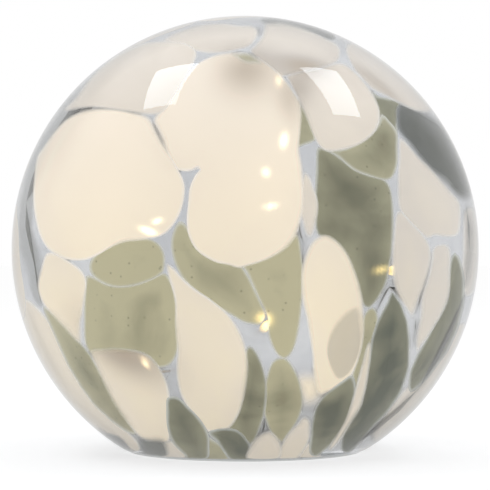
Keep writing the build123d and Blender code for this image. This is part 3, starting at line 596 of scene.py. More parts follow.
# %% Olive and slate spots of the front
olive_outlines = {
    "left_upper": (middle_layer, -0.1, [
        (94, 262), (101, 253), (113, 246), (127, 242), (145, 241), (156, 246), (161, 255),
        (161, 266), (158, 273), (145, 279), (131, 283), (116, 284), (102, 279), (94, 271),
    ]),
    "left_lower": (middle_layer, 0.05, [
        (89, 279), (97, 280), (110, 287), (122, 289), (139, 286), (160, 276), (167, 281),
        (172, 294), (176, 312), (177, 334), (174, 352), (166, 363), (148, 365), (126, 364),
        (103, 360), (91, 350), (87, 338), (87, 318), (87, 298),
    ]),
    "middle_left": (middle_layer, 0.1, [
        (176, 234), (183, 224), (194, 236), (206, 250), (220, 258), (235, 264), (243, 274),
        (251, 287), (258, 300), (263, 312), (258, 322), (250, 322), (240, 319), (225, 309),
        (205, 295), (188, 280), (178, 264), (174, 248),
    ]),
    "middle_right": (middle_layer, -0.15, [
        (241, 263), (262, 258), (282, 248), (296, 236), (300, 252), (301, 276), (299, 301),
        (298, 325), (294, 345), (287, 355), (279, 354), (272, 343), (268, 328), (269, 314),
        (262, 298), (254, 282), (247, 271),
    ]),
    "right_upper": (middle_layer, 0.4, [
        (331, 150), (350, 148), (366, 140), (377, 128), (380, 117), (387, 124), (394, 134),
        (394, 148), (394, 163), (390, 175), (382, 177), (368, 172), (356, 167), (343, 157),
    ]),
    "right_big": (middle_layer, 0.62, [
        (319, 151), (330, 153), (341, 160), (354, 171), (366, 177), (381, 181), (388, 190),
        (390, 206), (390, 230), (389, 256), (386, 278), (379, 294), (371, 304), (365, 305),
        (360, 298), (354, 279), (347, 261), (338, 247), (326, 238), (319, 229), (318, 200),
        (318, 174),
    ]),
    "top_sliver": (lower, 0.45, [
        (299, 102), (303, 109), (310, 120), (314, 132), (312, 138), (302, 142), (294, 147),
        (297, 131), (299, 117),
    ]),
    "foot_leaf": (upper, 0.8, [
        (351, 379), (354, 393), (350, 407), (345, 421), (336, 437), (323, 450), (314, 457),
        (311, 448), (313, 434), (317, 413), (323, 401), (332, 392), (342, 384),
    ]),
    "foot_left": (upper, 0.8, [
        (169, 402), (176, 400), (182, 403), (190, 413), (198, 423), (204, 433), (206, 444),
        (206, 462), (192, 462), (184, 450), (176, 441), (171, 428), (169, 413),
    ]),
    "foot_arch": (upper, 0.9, [
        (211, 435), (219, 432), (229, 432), (237, 434), (244, 441), (248, 449), (247, 462),
        (232, 462), (228, 452), (222, 444),
    ]),
    "foot_grey": (upper, 0.45, [(209, 441), (218, 447), (225, 454), (229, 462), (209, 462)]),
    "low_middle": (middle_layer, 0.55, [
        (247, 350), (254, 352), (259, 361), (263, 373), (264, 386), (263, 402), (261, 418),
        (257, 433), (252, 442), (246, 439), (236, 433), (225, 429), (229, 417), (235, 403),
        (239, 388), (241, 370),
    ]),
    "low_right": (middle_layer, 0.2, [
        (272, 366), (279, 361), (287, 362), (294, 373), (298, 386), (300, 402), (297, 415),
        (292, 426), (286, 435), (282, 440), (276, 436), (270, 427), (267, 413), (267, 397),
        (268, 380),
    ]),
    "upper_right_v": (lower, 0.75, [
        (374, 93), (381, 99), (391, 102), (402, 99), (397, 108), (396, 120), (395, 131), (386, 122),
        (379, 111),
    ]),
}
olive_stripes = {
    "left": (middle_layer, 0.35, [
        (43, 306), (55, 322), (67, 341), (79, 360), (91, 380), (103, 398), (115, 413), (127, 426),
        (137, 435),
    ], [2.0, 4.0, 7.0, 10.0, 10.0, 9.0, 6.0, 3.0, 1.0]),
    "leaf": (middle_layer, 0.92, [
        (392, 290), (394, 306), (393, 322), (391, 340), (389, 365), (383, 385), (375, 402),
        (363, 420), (352, 437), (343, 456),
    ], [1.0, 7.5, 13.0, 16.5, 18.0, 17.0, 14.0, 10.5, 9.0, 8.0]),
    "right": (middle_layer, 0.8, [
        (455, 252), (456, 278), (453, 303), (446, 326), (437, 345), (427, 360), (418, 375),
        (410, 393),
    ], [4.0, 6.0, 8.0, 9.5, 9.5, 8.5, 7.0, 3.0]),
    "beside_leaf": (lower, 0.3, [
        (373, 306), (370, 322), (367, 340), (363, 360), (358, 380), (354, 395),
    ], [4.0, 6.0, 6.0, 6.0, 4.0, 1.0]),
}
olive_veils = {
    "wedge": (top_layer, 0.35, [(232, 55), (241, 53), (251, 55), (261, 63), (252, 63), (241, 60)]),
}
slate_outlines = {
    "upper_right": (middle_layer, 0.8, [
        (400, 111), (407, 105), (418, 110), (432, 117), (447, 129), (458, 146), (468, 165),
        (472, 184), (465, 197), (453, 193), (441, 180), (429, 167), (415, 148), (403, 134),
        (400, 122),
    ]),
    "foot_left": (upper, 0.0, [
        (140, 438), (150, 442), (161, 443), (164, 452), (167, 462), (152, 460), (145, 449),
    ]),
    "rim_low_left": (upper, 0.2, [
        (101, 429), (112, 438), (124, 446), (134, 453), (120, 457), (106, 445),
    ]),
}
slate_stripes = {
    "band_thread": (lower, 0.0, [
        (70, 114), (84, 110), (98, 109), (112, 109), (128, 111), (142, 114),
    ], [0.5, 1.0, 1.2, 0.6, 0.8, 0.5]),
    "left_thread": (lower, 0.1, [
        (152, 122), (160, 138), (168, 155), (175, 167), (182, 174),
    ], [0.5, 1.0, 1.2, 1.4, 0.5]),
    "middle_gap": (lower, 0.3, [
        (299, 222), (299, 232), (303, 242), (303, 256), (302, 272),
    ], [0.8, 2.0, 4.5, 2.0, 0.5]),
    "leaf_top": (lower, 0.2, [
        (375, 315), (380, 302), (386, 290), (393, 284), (399, 292), (405, 303),
    ], [1.5, 2.0, 2.5, 3.0, 1.5, 0.8]),
    "right_thread": (lower, 0.2, [
        (430, 250), (428, 266), (424, 284), (419, 302), (416, 316),
    ], [1.6, 0.8, 0.8, 0.9, 1.5]),
    "right_gap": (lower, 0.2, [
        (416, 316), (416, 326), (414, 338), (412, 352),
    ], [2.0, 4.0, 3.5, 1.0]),
    "foot_gap": (lower, 0.4, [
        (265, 418), (265, 428), (259, 438), (253, 447),
    ], [0.8, 3.0, 2.0, 1.0]),
    "top_gap": (lower, 0.2, [(259, 24), (259, 30), (260, 36)], [1.5, 2.5, 1.0]),
}
slate_bands = {
    "top_right": (middle_layer, 0.1, [
        (258, 20), (280, 20), (300, 24), (320, 31), (337, 39),
    ], [1.5, 4.0, 5.0, 4.0, 1.5]),
}
slate_veils = {
    "through_patch": (top_layer, 0.0, [
        (356, 308), (345, 313), (334, 328), (329, 346), (331, 364), (338, 377), (349, 371),
        (357, 354), (361, 332), (361, 314),
    ]),
}
# Grey streaks along the limb of the ball: partly grey glass, partly painted shade that darkens the rim.
slate_streaks_and_rim_shade = {
    "left_rim": (lower, 0.0, [
        (132, 52), (103, 73), (72, 104), (50, 136), (33, 172), (26, 200), (25, 228), (30, 252),
        (36, 274), (38, 296), (42, 310),
    ], [2.0, 3.0, 6.0, 7.0, 8.0, 6.0, 5.0, 8.0, 7.0, 5.0, 2.0]),
    "left_knot": (lower, 0.3, [(55, 252), (63, 256), (71, 262)], [2.0, 3.0, 2.0]),
    "right_limb": (upper, 0.0, [
        (467, 290), (456, 324), (441, 356), (421, 386), (399, 412), (373, 434), (352, 447),
    ], [0.5, 1.0, 1.2, 1.2, 1.5, 1.5, 0.8]),
    "right_rim_thread": (upper, 0.0, [
        (466, 202), (470, 225), (470, 250), (467, 275), (465, 290),
    ], [0.5, 1.0, 1.2, 1.2, 0.6]),
}
olive_parts = (
    staggered(drawn_spot, olive_outlines, growth=4.5)
    + staggered(drawn_stripe, olive_stripes, growth=4.0)
    + staggered(drawn_spot, olive_veils, growth=3.0, crisp=0.7, cover=0.6)
)
slate_parts = (
    staggered(drawn_spot, slate_outlines, growth=7.0, crisp=0.6)
    + staggered(drawn_stripe, slate_stripes, growth=2.0, crisp=0.6, cover=0.65)
    + staggered(drawn_stripe, slate_bands, growth=4.0, crisp=1.5, cover=0.8)
    + staggered(drawn_spot, slate_veils, growth=3.0, crisp=1.5, cover=0.2)
    + staggered(drawn_stripe, slate_streaks_and_rim_shade, growth=4.0, crisp=0.8, cover=0.26)
)
print("olive spots:", len(olive_parts), "slate spots:", len(slate_parts))

# %% [markdown]
# ## The spots that the picture doesn't show
# The sides, the top and the back are covered in the same way. Spots that spread on hot glass until
# they nearly meet are what a Voronoi pattern draws: each one ends half way to its neighbours. Its
# seeds are spread over all that the drawn spots leave free, and towards the foot the cells are
# drawn out downwards. Ivory lies over olive, so the olive ones may reach in under it.

# %% Seeds of the back
back_rng = np.random.default_rng(41)
probe_count, back_count, rounds = 2600, 44, 3
clear_angle, lowest_z = 0.04, -0.84
foot_squash = np.array([1.0, 1.0, 0.6])
order = np.arange(probe_count)
heights = 1 - 2 * (order + 0.5) / probe_count
around = order * np.pi * (3 - np.sqrt(5))
across = np.sqrt(1 - heights**2)
probes = np.stack([across * np.cos(around), across * np.sin(around), heights], 1)
front_parts = ivory_parts + olive_parts + slate_parts
drawn_ways = np.concatenate([points[::5] for points, _, _ in front_parts]) - ball_centre
drawn_ways /= np.linalg.norm(drawn_ways, axis=1, keepdims=True)
clear_of_front = (probes @ drawn_ways.T).max(axis=1) < np.cos(clear_angle)
free = probes[clear_of_front & (probes[:, 2] > lowest_z)]
squashed = free * np.where(free[:, 2:] < 0, foot_squash, 1.0)
homes = squashed[back_rng.choice(len(free), back_count, replace=False)]
for _ in range(rounds):
    nearest = np.linalg.norm(squashed[:, None] - homes[None], axis=2).argmin(axis=1)
    member = (nearest[:, None] == np.arange(back_count)).astype(float)
    homes = member.T @ squashed / np.maximum(member.sum(axis=0), 1)[:, None]
seeds = member.T @ free
seeds /= np.linalg.norm(seeds, axis=1, keepdims=True)
print("free directions:", len(free), "seeds:", len(seeds))

# %% Spots of the back
wall_overlap = 0.035
foot_stretch = 0.8
neighbour_cosine, own_cosine, wall_cosine = 0.4, 0.9999, 0.8
least_cosine = 1e-3
corner_power = 10.0
smoothing = range(-2, 3)
cell_reaches = (0.05, 0.45)
cell_rise, cell_step = 0.00002, 0.000016
side_y, olive_until = 0.12, 0.96
foot_share, share_rise, foot_height = 0.36, 0.30, -0.85
stretch_below = 0.1


def back_spot(seed, depth, tone, growth, rows=13, ring_size=72):
    """Cell of one seed on the tangent plane: along the angle u it reaches to the nearest half-way
    line, r(u) = min over neighbours of |d|^2 / (2 d . e(u)), softened by a power mean, and hardly past
    a point q of a drawn spot, r(u) <= |q|^2 / (q . e(u)) + overlap. Then it grows by a fixed angle."""
    east = np.cross([0.0, 0.0, 1.0], seed)
    east /= np.linalg.norm(east)
    north = np.cross(seed, east)
    stretch = 1 + foot_stretch * np.clip(stretch_below - seed[2], 0, 1)
    frame_ways = np.stack([east * stretch, north / stretch], 1)
    u = np.linspace(0, 2 * np.pi, ring_size, endpoint=False)
    ray = np.stack([np.cos(u), np.sin(u)], 1)
    cosines = seeds @ seed
    others = seeds[(cosines > neighbour_cosine) & (cosines < own_cosine)] @ frame_ways
    walls = drawn_ways[(drawn_ways @ seed) > wall_cosine] @ frame_ways
    reach = (others**2).sum(axis=1) / (2 * np.maximum(ray @ others.T, least_cosine))
    reach = (reach**-corner_power).sum(axis=1) ** (-1 / corner_power)
    if len(walls):
        wall = ((walls**2).sum(axis=1) / np.maximum(ray @ walls.T, least_cosine)).min(axis=1)
        reach = np.minimum(reach, wall + wall_overlap)
    reach = sum(np.roll(reach, k) for k in smoothing) / len(smoothing)
    reach = np.clip(reach + growth, *cell_reaches)
    flat = ray * reach[:, None] / np.array([stretch, 1 / stretch])
    v = np.linspace(0, 1, rows)[:, None, None]
    directions = seed + v * (flat[:, :1] * east + flat[:, 1:] * north)
    directions /= np.linalg.norm(directions, axis=2, keepdims=True)
    inset = (1 - v[..., 0]) * reach[None] * ball_radius * millimetres
    return lens_spot(directions, inset, depth, tone, thickness=cell_rise)


kinds = back_rng.uniform(size=len(seeds))
ivory_share = foot_share + share_rise * (seeds[:, 2] - foot_height)
ivory_share = np.where(seeds[:, 1] < side_y, 1.0, ivory_share)
tones = back_rng.uniform(size=len(seeds))
# Each kind of cell: its set, its layer, the tone from and the span of it, and the growth.
cell_kinds = {
    "ivory": (ivory_parts, upper, 0.05, 0.6, 0.012),
    "olive": (olive_parts, middle_layer, -0.1, 0.9, 0.016),
    "slate": (slate_parts, middle_layer, 0.0, 0.4, 0.024),
}
for own, (seed, kind, share, tone) in enumerate(zip(seeds, kinds, ivory_share, tones)):
    name = "ivory" if kind < share else "olive" if kind < olive_until else "slate"
    parts, layer, tone_from, tone_span, growth = cell_kinds[name]
    parts.append(back_spot(seed, layer + cell_step * own, tone_from + tone_span * tone, growth))
print("spots of the back:", len(seeds))

# %% [markdown]
# ## The light that the spots catch
# Each light of the string throws a soft patch on the wall that it faces, with a small bright
# core where the milky glass lets it through. Both depend only on where a point of the spot lies
# beside the line of that light, so they are worked out here, once, and kept on the points.

# %% Glow on the spots
# The pixel that each light of the front faces, by its number on the string.
faced_pixels = {
    0: (158, 368), 1: (265, 320), 2: (386, 270), 8: (148, 231), 9: (270, 206), 17: (283, 140),
    24: (279, 78),
}
aim_radius = 0.073
for index, faced in faced_pixels.items():
    aim = ball_centre + aim_radius * wall_direction(np.array(faced, float), upper) - drop_middles[index]
    facing[index] = aim / np.linalg.norm(aim)

# Each glint: place, half width, half height and turn in the picture, and strength.
front_glints = [
    ((148, 231), 7.0, 2.6, 20, 1.0), ((157, 221), 4.0, 2.2, -15, 0.8), ((271, 206), 5.5, 2.2, -18, 0.6),
    ((266, 172), 3.2, 4.0, 0, 0.55), ((284, 140), 3.0, 6.5, 11, 0.8), ((279, 80), 3.0, 6.5, 15, 0.3),
    ((383, 270), 8.0, 3.0, -8, 0.7), ((145, 363), 3.0, 4.0, -35, 0.6), ((265, 320), 6.5, 5.0, 20, 1.2),
]
# Brown patches on the ivory, in the same form: towards their middle the colour turns brown.
front_shades = [
    ((246, 69), 27.0, 34.0, 0, 0.75), ((289, 106), 11.0, 22.0, 0, 0.3), ((306, 65), 26.0, 15.0, -12, 0.7),
    ((298, 86), 15.0, 25.0, 30, 0.5), ((379, 84), 24.0, 15.0, 39, 0.6), ((120, 349), 40.0, 26.0, 6, 1.0),
    ((58, 158), 22.0, 46.0, 12, 0.12),
]
# Lights of the back that show as a glint on the wall: its half width, half height and strength.
back_lights, back_glint = (4, 6, 12, 14, 20), (0.0016, 0.0010, 0.7)
same_side = 0.9
glow_reach, even_glow, near_glow = 0.020, 0.65, 0.6
thick_inset = 8
thick_tones = {"ivory": -0.2, "olive": 0.4, "slate": 0.6}
warm_top, warm_fall = 0.122, 0.075


def soft_patch(place, half_width, half_height, turn, strength):
    """Middle, scaled ways along and across, and strength of a patch on the wall seen at a pixel."""
    nearby = np.array([(0, 0), (2, 0), (0, 2)])
    steps = wall_direction(np.array(place, float) + nearby, upper)
    right_way, down_way = (way / np.linalg.norm(way) for way in steps[1:] - steps[0])
    c, s = np.cos(np.radians(turn)), np.sin(np.radians(turn))
    along = (c * right_way + s * down_way) / (half_width * pixel)
    across = (c * down_way - s * right_way) / (half_height * pixel)
    return steps[0], along, across, strength


glint_rows = [soft_patch(*glint) for glint in front_glints]
shade_rows = [soft_patch(*shade) for shade in front_shades]
half_width, half_height, strength = back_glint
for index in back_lights:
    way = outward[index]
    level = np.cross(way, [0.0, 0.0, 1.0])
    level /= np.linalg.norm(level)
    glint_rows.append((way, level / half_width, np.cross(level, way) / half_height, strength))
print("glints:", len(glint_rows))


def patch_sum(ways, rows):
    """Sum of soft patches, exp(-a^2 - b^2) by the place (a, b) of a direction beside each patch."""
    total = np.zeros(len(ways))
    for way, along, across, strength in rows:
        beside = ball_radius * (ways - way)
        patch = np.exp(-((beside @ along) ** 2) - (beside @ across) ** 2)
        total += strength * patch * (ways @ way > same_side)
    return total


def with_glow(parts, thick_tone, shades=()):
    """Adds the marks that depend on the place: glow = 1 / (1 + (d / 20 mm)^2)^2 by the distance d to a
    light, summed, less where the spot is dark, core, the sum of the glints, and shade, that of the
    shades. The tone shifts from the thin edge to the thick middle, over 8 mm. The mark warm grows
    from the top down, so the colour is yellower lower down."""
    for points, _, marks in parts:
        ways = (points - ball_centre) / np.linalg.norm(points - ball_centre, axis=1, keepdims=True)
        marks["shade"] = patch_sum(ways, shades)
        away = np.linalg.norm(points[:, None] - drop_middles[None], axis=2)
        near = (1 / (1 + (away / glow_reach) ** 2) ** 2).sum(axis=1)
        pale = np.clip(1 - marks["tone"] - marks["shade"], 0, 1)
        marks["glow"] = pale * (even_glow + near_glow * near)
        marks["core"] = patch_sum(ways, glint_rows)
        thick = np.clip(marks["inset"] / thick_inset, 0, 1)
        marks["tone"] = marks["tone"] + thick_tone * (thick * thick * (3 - 2 * thick) - 0.5)
        marks["warm"] = np.clip((warm_top - points[:, 2]) / warm_fall, 0, 1)
    return parts


ivory = make_piece("ivory_spots", with_glow(ivory_parts, thick_tones["ivory"], shade_rows))
olive = make_piece("olive_spots", with_glow(olive_parts, thick_tones["olive"]))
slate = make_piece("slate_spots", with_glow(slate_parts, thick_tones["slate"]))

# %% [markdown]
# ## The milky film
# Under the spots the wall carries a thin opal film, which is why the gaps look pale and one can't
# see right through the ball; a faint warm emission on it, painted light from the string, adds to that.
# It is a shell like the wall, a tenth of a millimetre thick. In front of three lights it is so thin that
# their drops show through.

# %% Milky film
film_outer, film_inner = 0.07175, 0.07165
film_steps, film_sides, film_end = 110, 160, np.radians(57)
bare_lights, window_radius = [0, 1, 2], 0.0045
foot_z, foot_fall, foot_loss = 0.034, 0.016, 0.55


def milk_film():
    """Two arcs about the ball's centre, from the top to above the rim and back, turned. The mark
    cover falls to nothing on the line of each bare light, as 1 - exp(-(s / 4.5 mm)^2), and to less
    than half towards the foot, where the pale battery unit shows through."""
    arc = np.linspace(np.pi / 2, -film_end, film_steps)[1:, None]
    turn = np.linspace(0, 2 * np.pi, film_sides, endpoint=False)[None]
    shape = np.stack([
        np.cos(arc) * np.cos(turn), np.cos(arc) * np.sin(turn), np.sin(arc) + 0 * turn,
    ], 2)
    rings = np.concatenate([film_outer * shape, film_inner * shape[::-1]])
    top = np.array([0.0, 0.0, 1.0])
    ends = film_outer * top, film_inner * top
    points = ball_centre + np.concatenate([ends[:1], rings.reshape(-1, 3), ends[1:]])
    offset = points[:, None] - drop_middles[bare_lights]
    ahead = (offset * facing[bare_lights]).sum(axis=2)
    beside = np.linalg.norm(offset - ahead[..., None] * facing[bare_lights], axis=2)
    window = ((ahead > 0) * np.exp(-((beside / window_radius) ** 2))).max(axis=1)
    low = np.clip((foot_z - points[:, 2]) / foot_fall, 0, 1)
    cover = (1 - window) * (1 - foot_loss * low)
    return points, joined_rings(len(rings), turn.size), {"cover": cover}


film = make_piece("milk_film", [milk_film()])

# %% [markdown]
# ## Finishes
# A finish here is a small node tree. Two effects are shared by many of them, so they are node
# groups: a fine grain, for anything moulded, plated or sprayed, and the swirl of melted glass.

# %% Node helpers
def feed(tree, socket, value):
    """Links an input to an output socket, or sets it to a plain value."""
    if isinstance(value, bpy.types.NodeSocket):
        tree.links.new(value, socket)
    else:
        socket.default_value = value


def set_inputs(tree, node, **values):
    """Feeds the inputs of a node by name, with underscores for spaces."""
    for name, value in values.items():
        feed(tree, node.inputs[name.replace("_", " ")], value)


def add_node(tree, kind, **values):
    """New node of a kind, with its properties set and its inputs fed by name."""
    node = tree.nodes.new("ShaderNode" + kind)
    properties = {name: value for name, value in values.items() if hasattr(node, name)}
    for name, value in properties.items():
        setattr(node, name, value)
    set_inputs(tree, node, **{name: value for name, value in values.items() if name not in properties})
    return node


def new_finish(name, **values):
    """New material; returns it with its node tree and its Principled shader, whose inputs are fed."""
    material = bpy.data.materials.new(name)
    material.use_nodes = True
    tree = material.node_tree
    shader = next(node for node in tree.nodes if node.type == "BSDF_PRINCIPLED")
    set_inputs(tree, shader, **values)
    return material, tree, shader


def own_place(tree):
    """Place of a point in the frame of its own object."""
    return add_node(tree, "TexCoord").outputs["Object"]


def point_mark(tree, name):
    """Value of a named mark on the points of the mesh."""
    return add_node(tree, "Attribute", attribute_name=name).outputs["Fac"]


def noise(tree, place, scale, detail, distortion=0.0):
    """Soft noise at a place, about 0.5."""
    values = {"Vector": place, "Scale": scale, "Detail": detail, "Distortion": distortion}
    return add_node(tree, "TexNoise", **values).outputs["Fac"]


def remapped(tree, value, span=(0.0, 1.0), onto=(0.0, 1.0), **properties):
    """A value carried from one span onto another, and held inside it."""
    ends = {"From_Min": span[0], "From_Max": span[1], "To_Min": onto[0], "To_Max": onto[1]}
    return add_node(tree, "MapRange", **properties, Value=value, **ends).outputs["Result"]


def maths(tree, operation, *operands):
    """Result of a Math node on numbers or sockets."""
    node = add_node(tree, "Math", operation=operation)
    for socket, operand in zip(node.inputs, operands):
        feed(tree, socket, operand)
    return node.outputs["Value"]


def mixed_colour(tree, factor, first, second, **properties):
    """Colour between two colours, by a factor."""
    ends = {"Factor": factor, "A": first, "B": second}
    return add_node(tree, "Mix", data_type="RGBA", **properties, **ends).outputs["Result"]


def mixed_shader(tree, factor, first, second):
    """Node that mixes the shaders of two nodes, by a factor."""
    node = add_node(tree, "MixShader")
    for socket, value in zip(node.inputs, (factor, first.outputs[0], second.outputs[0])):
        feed(tree, socket, value)
    return node


def any_ray(tree, *kinds):
    """1 for a ray of one of the kinds, else 0: the largest of their Light Path values."""
    paths = add_node(tree, "LightPath")
    first, *others = (paths.outputs[f"Is {kind} Ray"] for kind in kinds)
    for other in others:
        first = maths(tree, "MAXIMUM", first, other)
    return first


def put_out(tree, shader):
    """Shows the shader of a node on the output, in place of the plain Principled one."""
    surface = next(node for node in tree.nodes if node.type == "OUTPUT_MATERIAL")
    feed(tree, surface.inputs["Surface"], shader.outputs[0])


def new_group(name, inputs, outputs):
    """Empty shader node group; returns its tree, its given sockets by name and its end node."""
    tree = bpy.data.node_groups.new(name, "ShaderNodeTree")
    for label, (kind, value) in inputs.items():
        socket = tree.interface.new_socket(label, in_out="INPUT", socket_type="NodeSocket" + kind)
        if value is not None:
            socket.default_value = value
    for label, kind in outputs.items():
        tree.interface.new_socket(label, in_out="OUTPUT", socket_type="NodeSocket" + kind)
    return tree, tree.nodes.new("NodeGroupInput").outputs, tree.nodes.new("NodeGroupOutput")


def use_group(tree, group, **values):
    """Outputs of a group placed in a material, with its inputs fed by name."""
    return add_node(tree, "Group", node_tree=group, **values).outputs

# %% Fine grain
grain, given, grain_end = new_group(
    "fine_grain",
    {
        "Vector": ("Vector", None), "Light Colour": ("Color", None), "Dark Colour": ("Color", None),
        "Grain Scale": ("Float", 900.0), "Smooth": ("Float", 0.3), "Rough": ("Float", 0.5),
    },
    {"Colour": "Color", "Roughness": "Float", "Height": "Float"},
)
broad_scale = 60.0
fine = noise(grain, given["Vector"], given["Grain Scale"], 3.0)
broad = noise(grain, given["Vector"], broad_scale, 2.0)
set_inputs(
    grain, grain_end, Height=fine,
    Colour=mixed_colour(grain, broad, given["Light Colour"], given["Dark Colour"]),
    Roughness=remapped(grain, fine, onto=(given["Smooth"], given["Rough"])),
)

# %% Melted swirl
swirl, given, swirl_end = new_group(
    "melted_swirl",
    {
        "Vector": ("Vector", None), "Tone": ("Float", 0.0), "Light Colour": ("Color", None),
        "Dark Colour": ("Color", None), "Bubble Colour": ("Color", None), "Bubbles": ("Float", 0.5),
        "Clouds": ("Float", 1.0),
    },
    {"Colour": "Color"},
)
cloud_scale, bubble_scale = 45.0, 420.0
bubble_radii = (0.08, 0.20)
cells_without_bubble = 0.55
clouds = maths(swirl, "SUBTRACT", noise(swirl, given["Vector"], cloud_scale, 4.0, 0.6), 0.5)
clouded_tone = maths(swirl, "MULTIPLY_ADD", clouds, given["Clouds"], given["Tone"])
toned = mixed_colour(swirl, clouded_tone, given["Light Colour"], given["Dark Colour"])
cells = add_node(swirl, "TexVoronoi", Vector=given["Vector"], Scale=bubble_scale, Randomness=1.0)
chance = add_node(swirl, "SeparateColor", Color=cells.outputs["Color"]).outputs["Red"]
chosen = maths(swirl, "GREATER_THAN", chance, cells_without_bubble)
dot = remapped(swirl, cells.outputs["Distance"], bubble_radii, (1.0, 0.0))
amount = maths(swirl, "MULTIPLY", maths(swirl, "MULTIPLY", dot, chosen), given["Bubbles"])
set_inputs(swirl, swirl_end, Colour=mixed_colour(swirl, amount, toned, given["Bubble Colour"]))
print("node groups:", [group.name for group in bpy.data.node_groups])

# %% [markdown]
# ## Clear glass
# The wall is a Principled shader with full transmission. Lamps can't shine through a refracting
# face in a path tracer, so for shadow and diffuse rays the wall is simply clear: that is what
# lights the spots inside it. The camera and mirror rays still see real glass. Towards the rim
# the way through the wall is long, so the tint deepens with the slope of the face.

# %% Clear glass
clear_glass, tree, shader = new_finish(
    "clear_glass", IOR=glass_index, Transmission_Weight=1.0, Roughness=0.0
)
streaks = noise(tree, own_place(tree), 18.0, 2.0, 1.2)
tint = mixed_colour(tree, streaks, (0.90, 0.925, 0.945, 1), (0.965, 0.975, 0.985, 1))
slope = add_node(tree, "LayerWeight", Blend=0.5).outputs["Facing"]
deep_rim = remapped(tree, slope, (0.60, 0.95))
set_inputs(tree, shader, Base_Color=mixed_colour(tree, deep_rim, tint, (0.10, 0.105, 0.11, 1)))
clear = add_node(tree, "BsdfTransparent", Color=(0.95, 0.96, 0.97, 1))
put_out(tree, mixed_shader(tree, any_ray(tree, "Shadow", "Diffuse"), shader, clear))
glass.data.materials.append(clear_glass)
print("finish:", clear_glass.name)

# %% [markdown]
# ## Finishes of the spots and the film
# The colour comes from the swirl and from each spot's tone, and thins out over the last part
# before the edge. Part of the light goes through: a Translucent shader carries it, so the inside
# of the ball is bright and shows through the clear gaps.

# %% Spot finishes
shade_colour = (0.60, 0.485, 0.365, 1)
rim_span = (0.15, 1.5)
light_through = 0.2


def thin_layer(tree, shader, colour, through, alpha):
    """Shows a shader that lets a share of the light through and is clear where alpha is 0."""
    body = mixed_shader(tree, through, shader, add_node(tree, "BsdfTranslucent", Color=colour))
    put_out(tree, mixed_shader(tree, alpha, add_node(tree, "BsdfTransparent"), body))


def spot_finish(
    name, light, warm, dark, rim, bubble, bubbles, clouds, edge_widths, light_colour, glow_gain,
    core_gain,
):
    """Colour by swirl, tone, warmth and shade, pale at the rim, alpha by the distance to an edge of
    uneven width times the cover, and warm light by glow and core."""
    material, tree, shader = new_finish(
        name, Roughness=0.6, Specular_IOR_Level=0.0, Emission_Strength=1.0
    )
    place, inset = own_place(tree), point_mark(tree, "inset")
    colour = use_group(
        tree, swirl, Vector=place, Tone=point_mark(tree, "tone"),
        Light_Colour=mixed_colour(tree, point_mark(tree, "warm"), light, warm), Dark_Colour=dark,
        Bubble_Colour=bubble, Bubbles=bubbles, Clouds=clouds,
    )["Colour"]
    shaded = mixed_colour(tree, point_mark(tree, "shade"), colour, shade_colour)
    inside = remapped(tree, inset, rim_span, interpolation_type="SMOOTHSTEP")
    rimmed = mixed_colour(tree, inside, rim, shaded)
    halo = maths(tree, "MULTIPLY", point_mark(tree, "glow"), glow_gain)
    lit = maths(tree, "MULTIPLY_ADD", point_mark(tree, "core"), core_gain, halo)
    shine = mixed_colour(tree, 1.0, lit, light_colour, blend_type="MULTIPLY")
    set_inputs(tree, shader, Base_Color=rimmed, Emission_Color=shine)
    edge_width = remapped(tree, noise(tree, place, 38.0, 1.0), (0.35, 0.65), edge_widths)
    edge = remapped(tree, inset, (0.0, edge_width), interpolation_type="SMOOTHSTEP")
    covered = maths(tree, "MULTIPLY", edge, point_mark(tree, "cover"))
    unlit = remapped(tree, any_ray(tree, "Shadow", "Diffuse"), onto=(1.0, 0.0))
    thin_layer(tree, shader, rimmed, light_through, maths(tree, "MULTIPLY", covered, unlit))
    return material


ivory.data.materials.append(spot_finish(
    "ivory_glass", light=(0.92, 0.855, 0.80, 1), warm=(0.925, 0.82, 0.645, 1),
    dark=(0.80, 0.74, 0.675, 1), rim=(0.86, 0.85, 0.83, 1), bubble=(0.72, 0.68, 0.62, 1),
    bubbles=0.12, clouds=1.2, edge_widths=(0.8, 3.0), light_colour=(1.0, 0.76, 0.42, 1),
    glow_gain=0.36, core_gain=3.0,
))
olive.data.materials.append(spot_finish(
    "olive_glass", light=(0.50, 0.49, 0.35, 1), warm=(0.51, 0.485, 0.325, 1),
    dark=(0.115, 0.125, 0.09, 1), rim=(0.66, 0.67, 0.62, 1), bubble=(0.08, 0.09, 0.065, 1),
    bubbles=0.5, clouds=1.5, edge_widths=(0.35, 1.5), light_colour=(1.0, 0.74, 0.26, 1),
    glow_gain=0.14, core_gain=1.6,
))
slate.data.materials.append(spot_finish(
    "slate_glass", light=(0.20, 0.21, 0.205, 1), warm=(0.20, 0.205, 0.185, 1),
    dark=(0.07, 0.076, 0.057, 1), rim=(0.30, 0.31, 0.31, 1), bubble=(0.08, 0.09, 0.08, 1),
    bubbles=0.4, clouds=1.2, edge_widths=(1.0, 3.6), light_colour=(1.0, 0.84, 0.60, 1),
    glow_gain=0.02, core_gain=0.4,
))

# %% Milky film finish
film_through = 0.3
film_alphas = (0.70, 0.96)
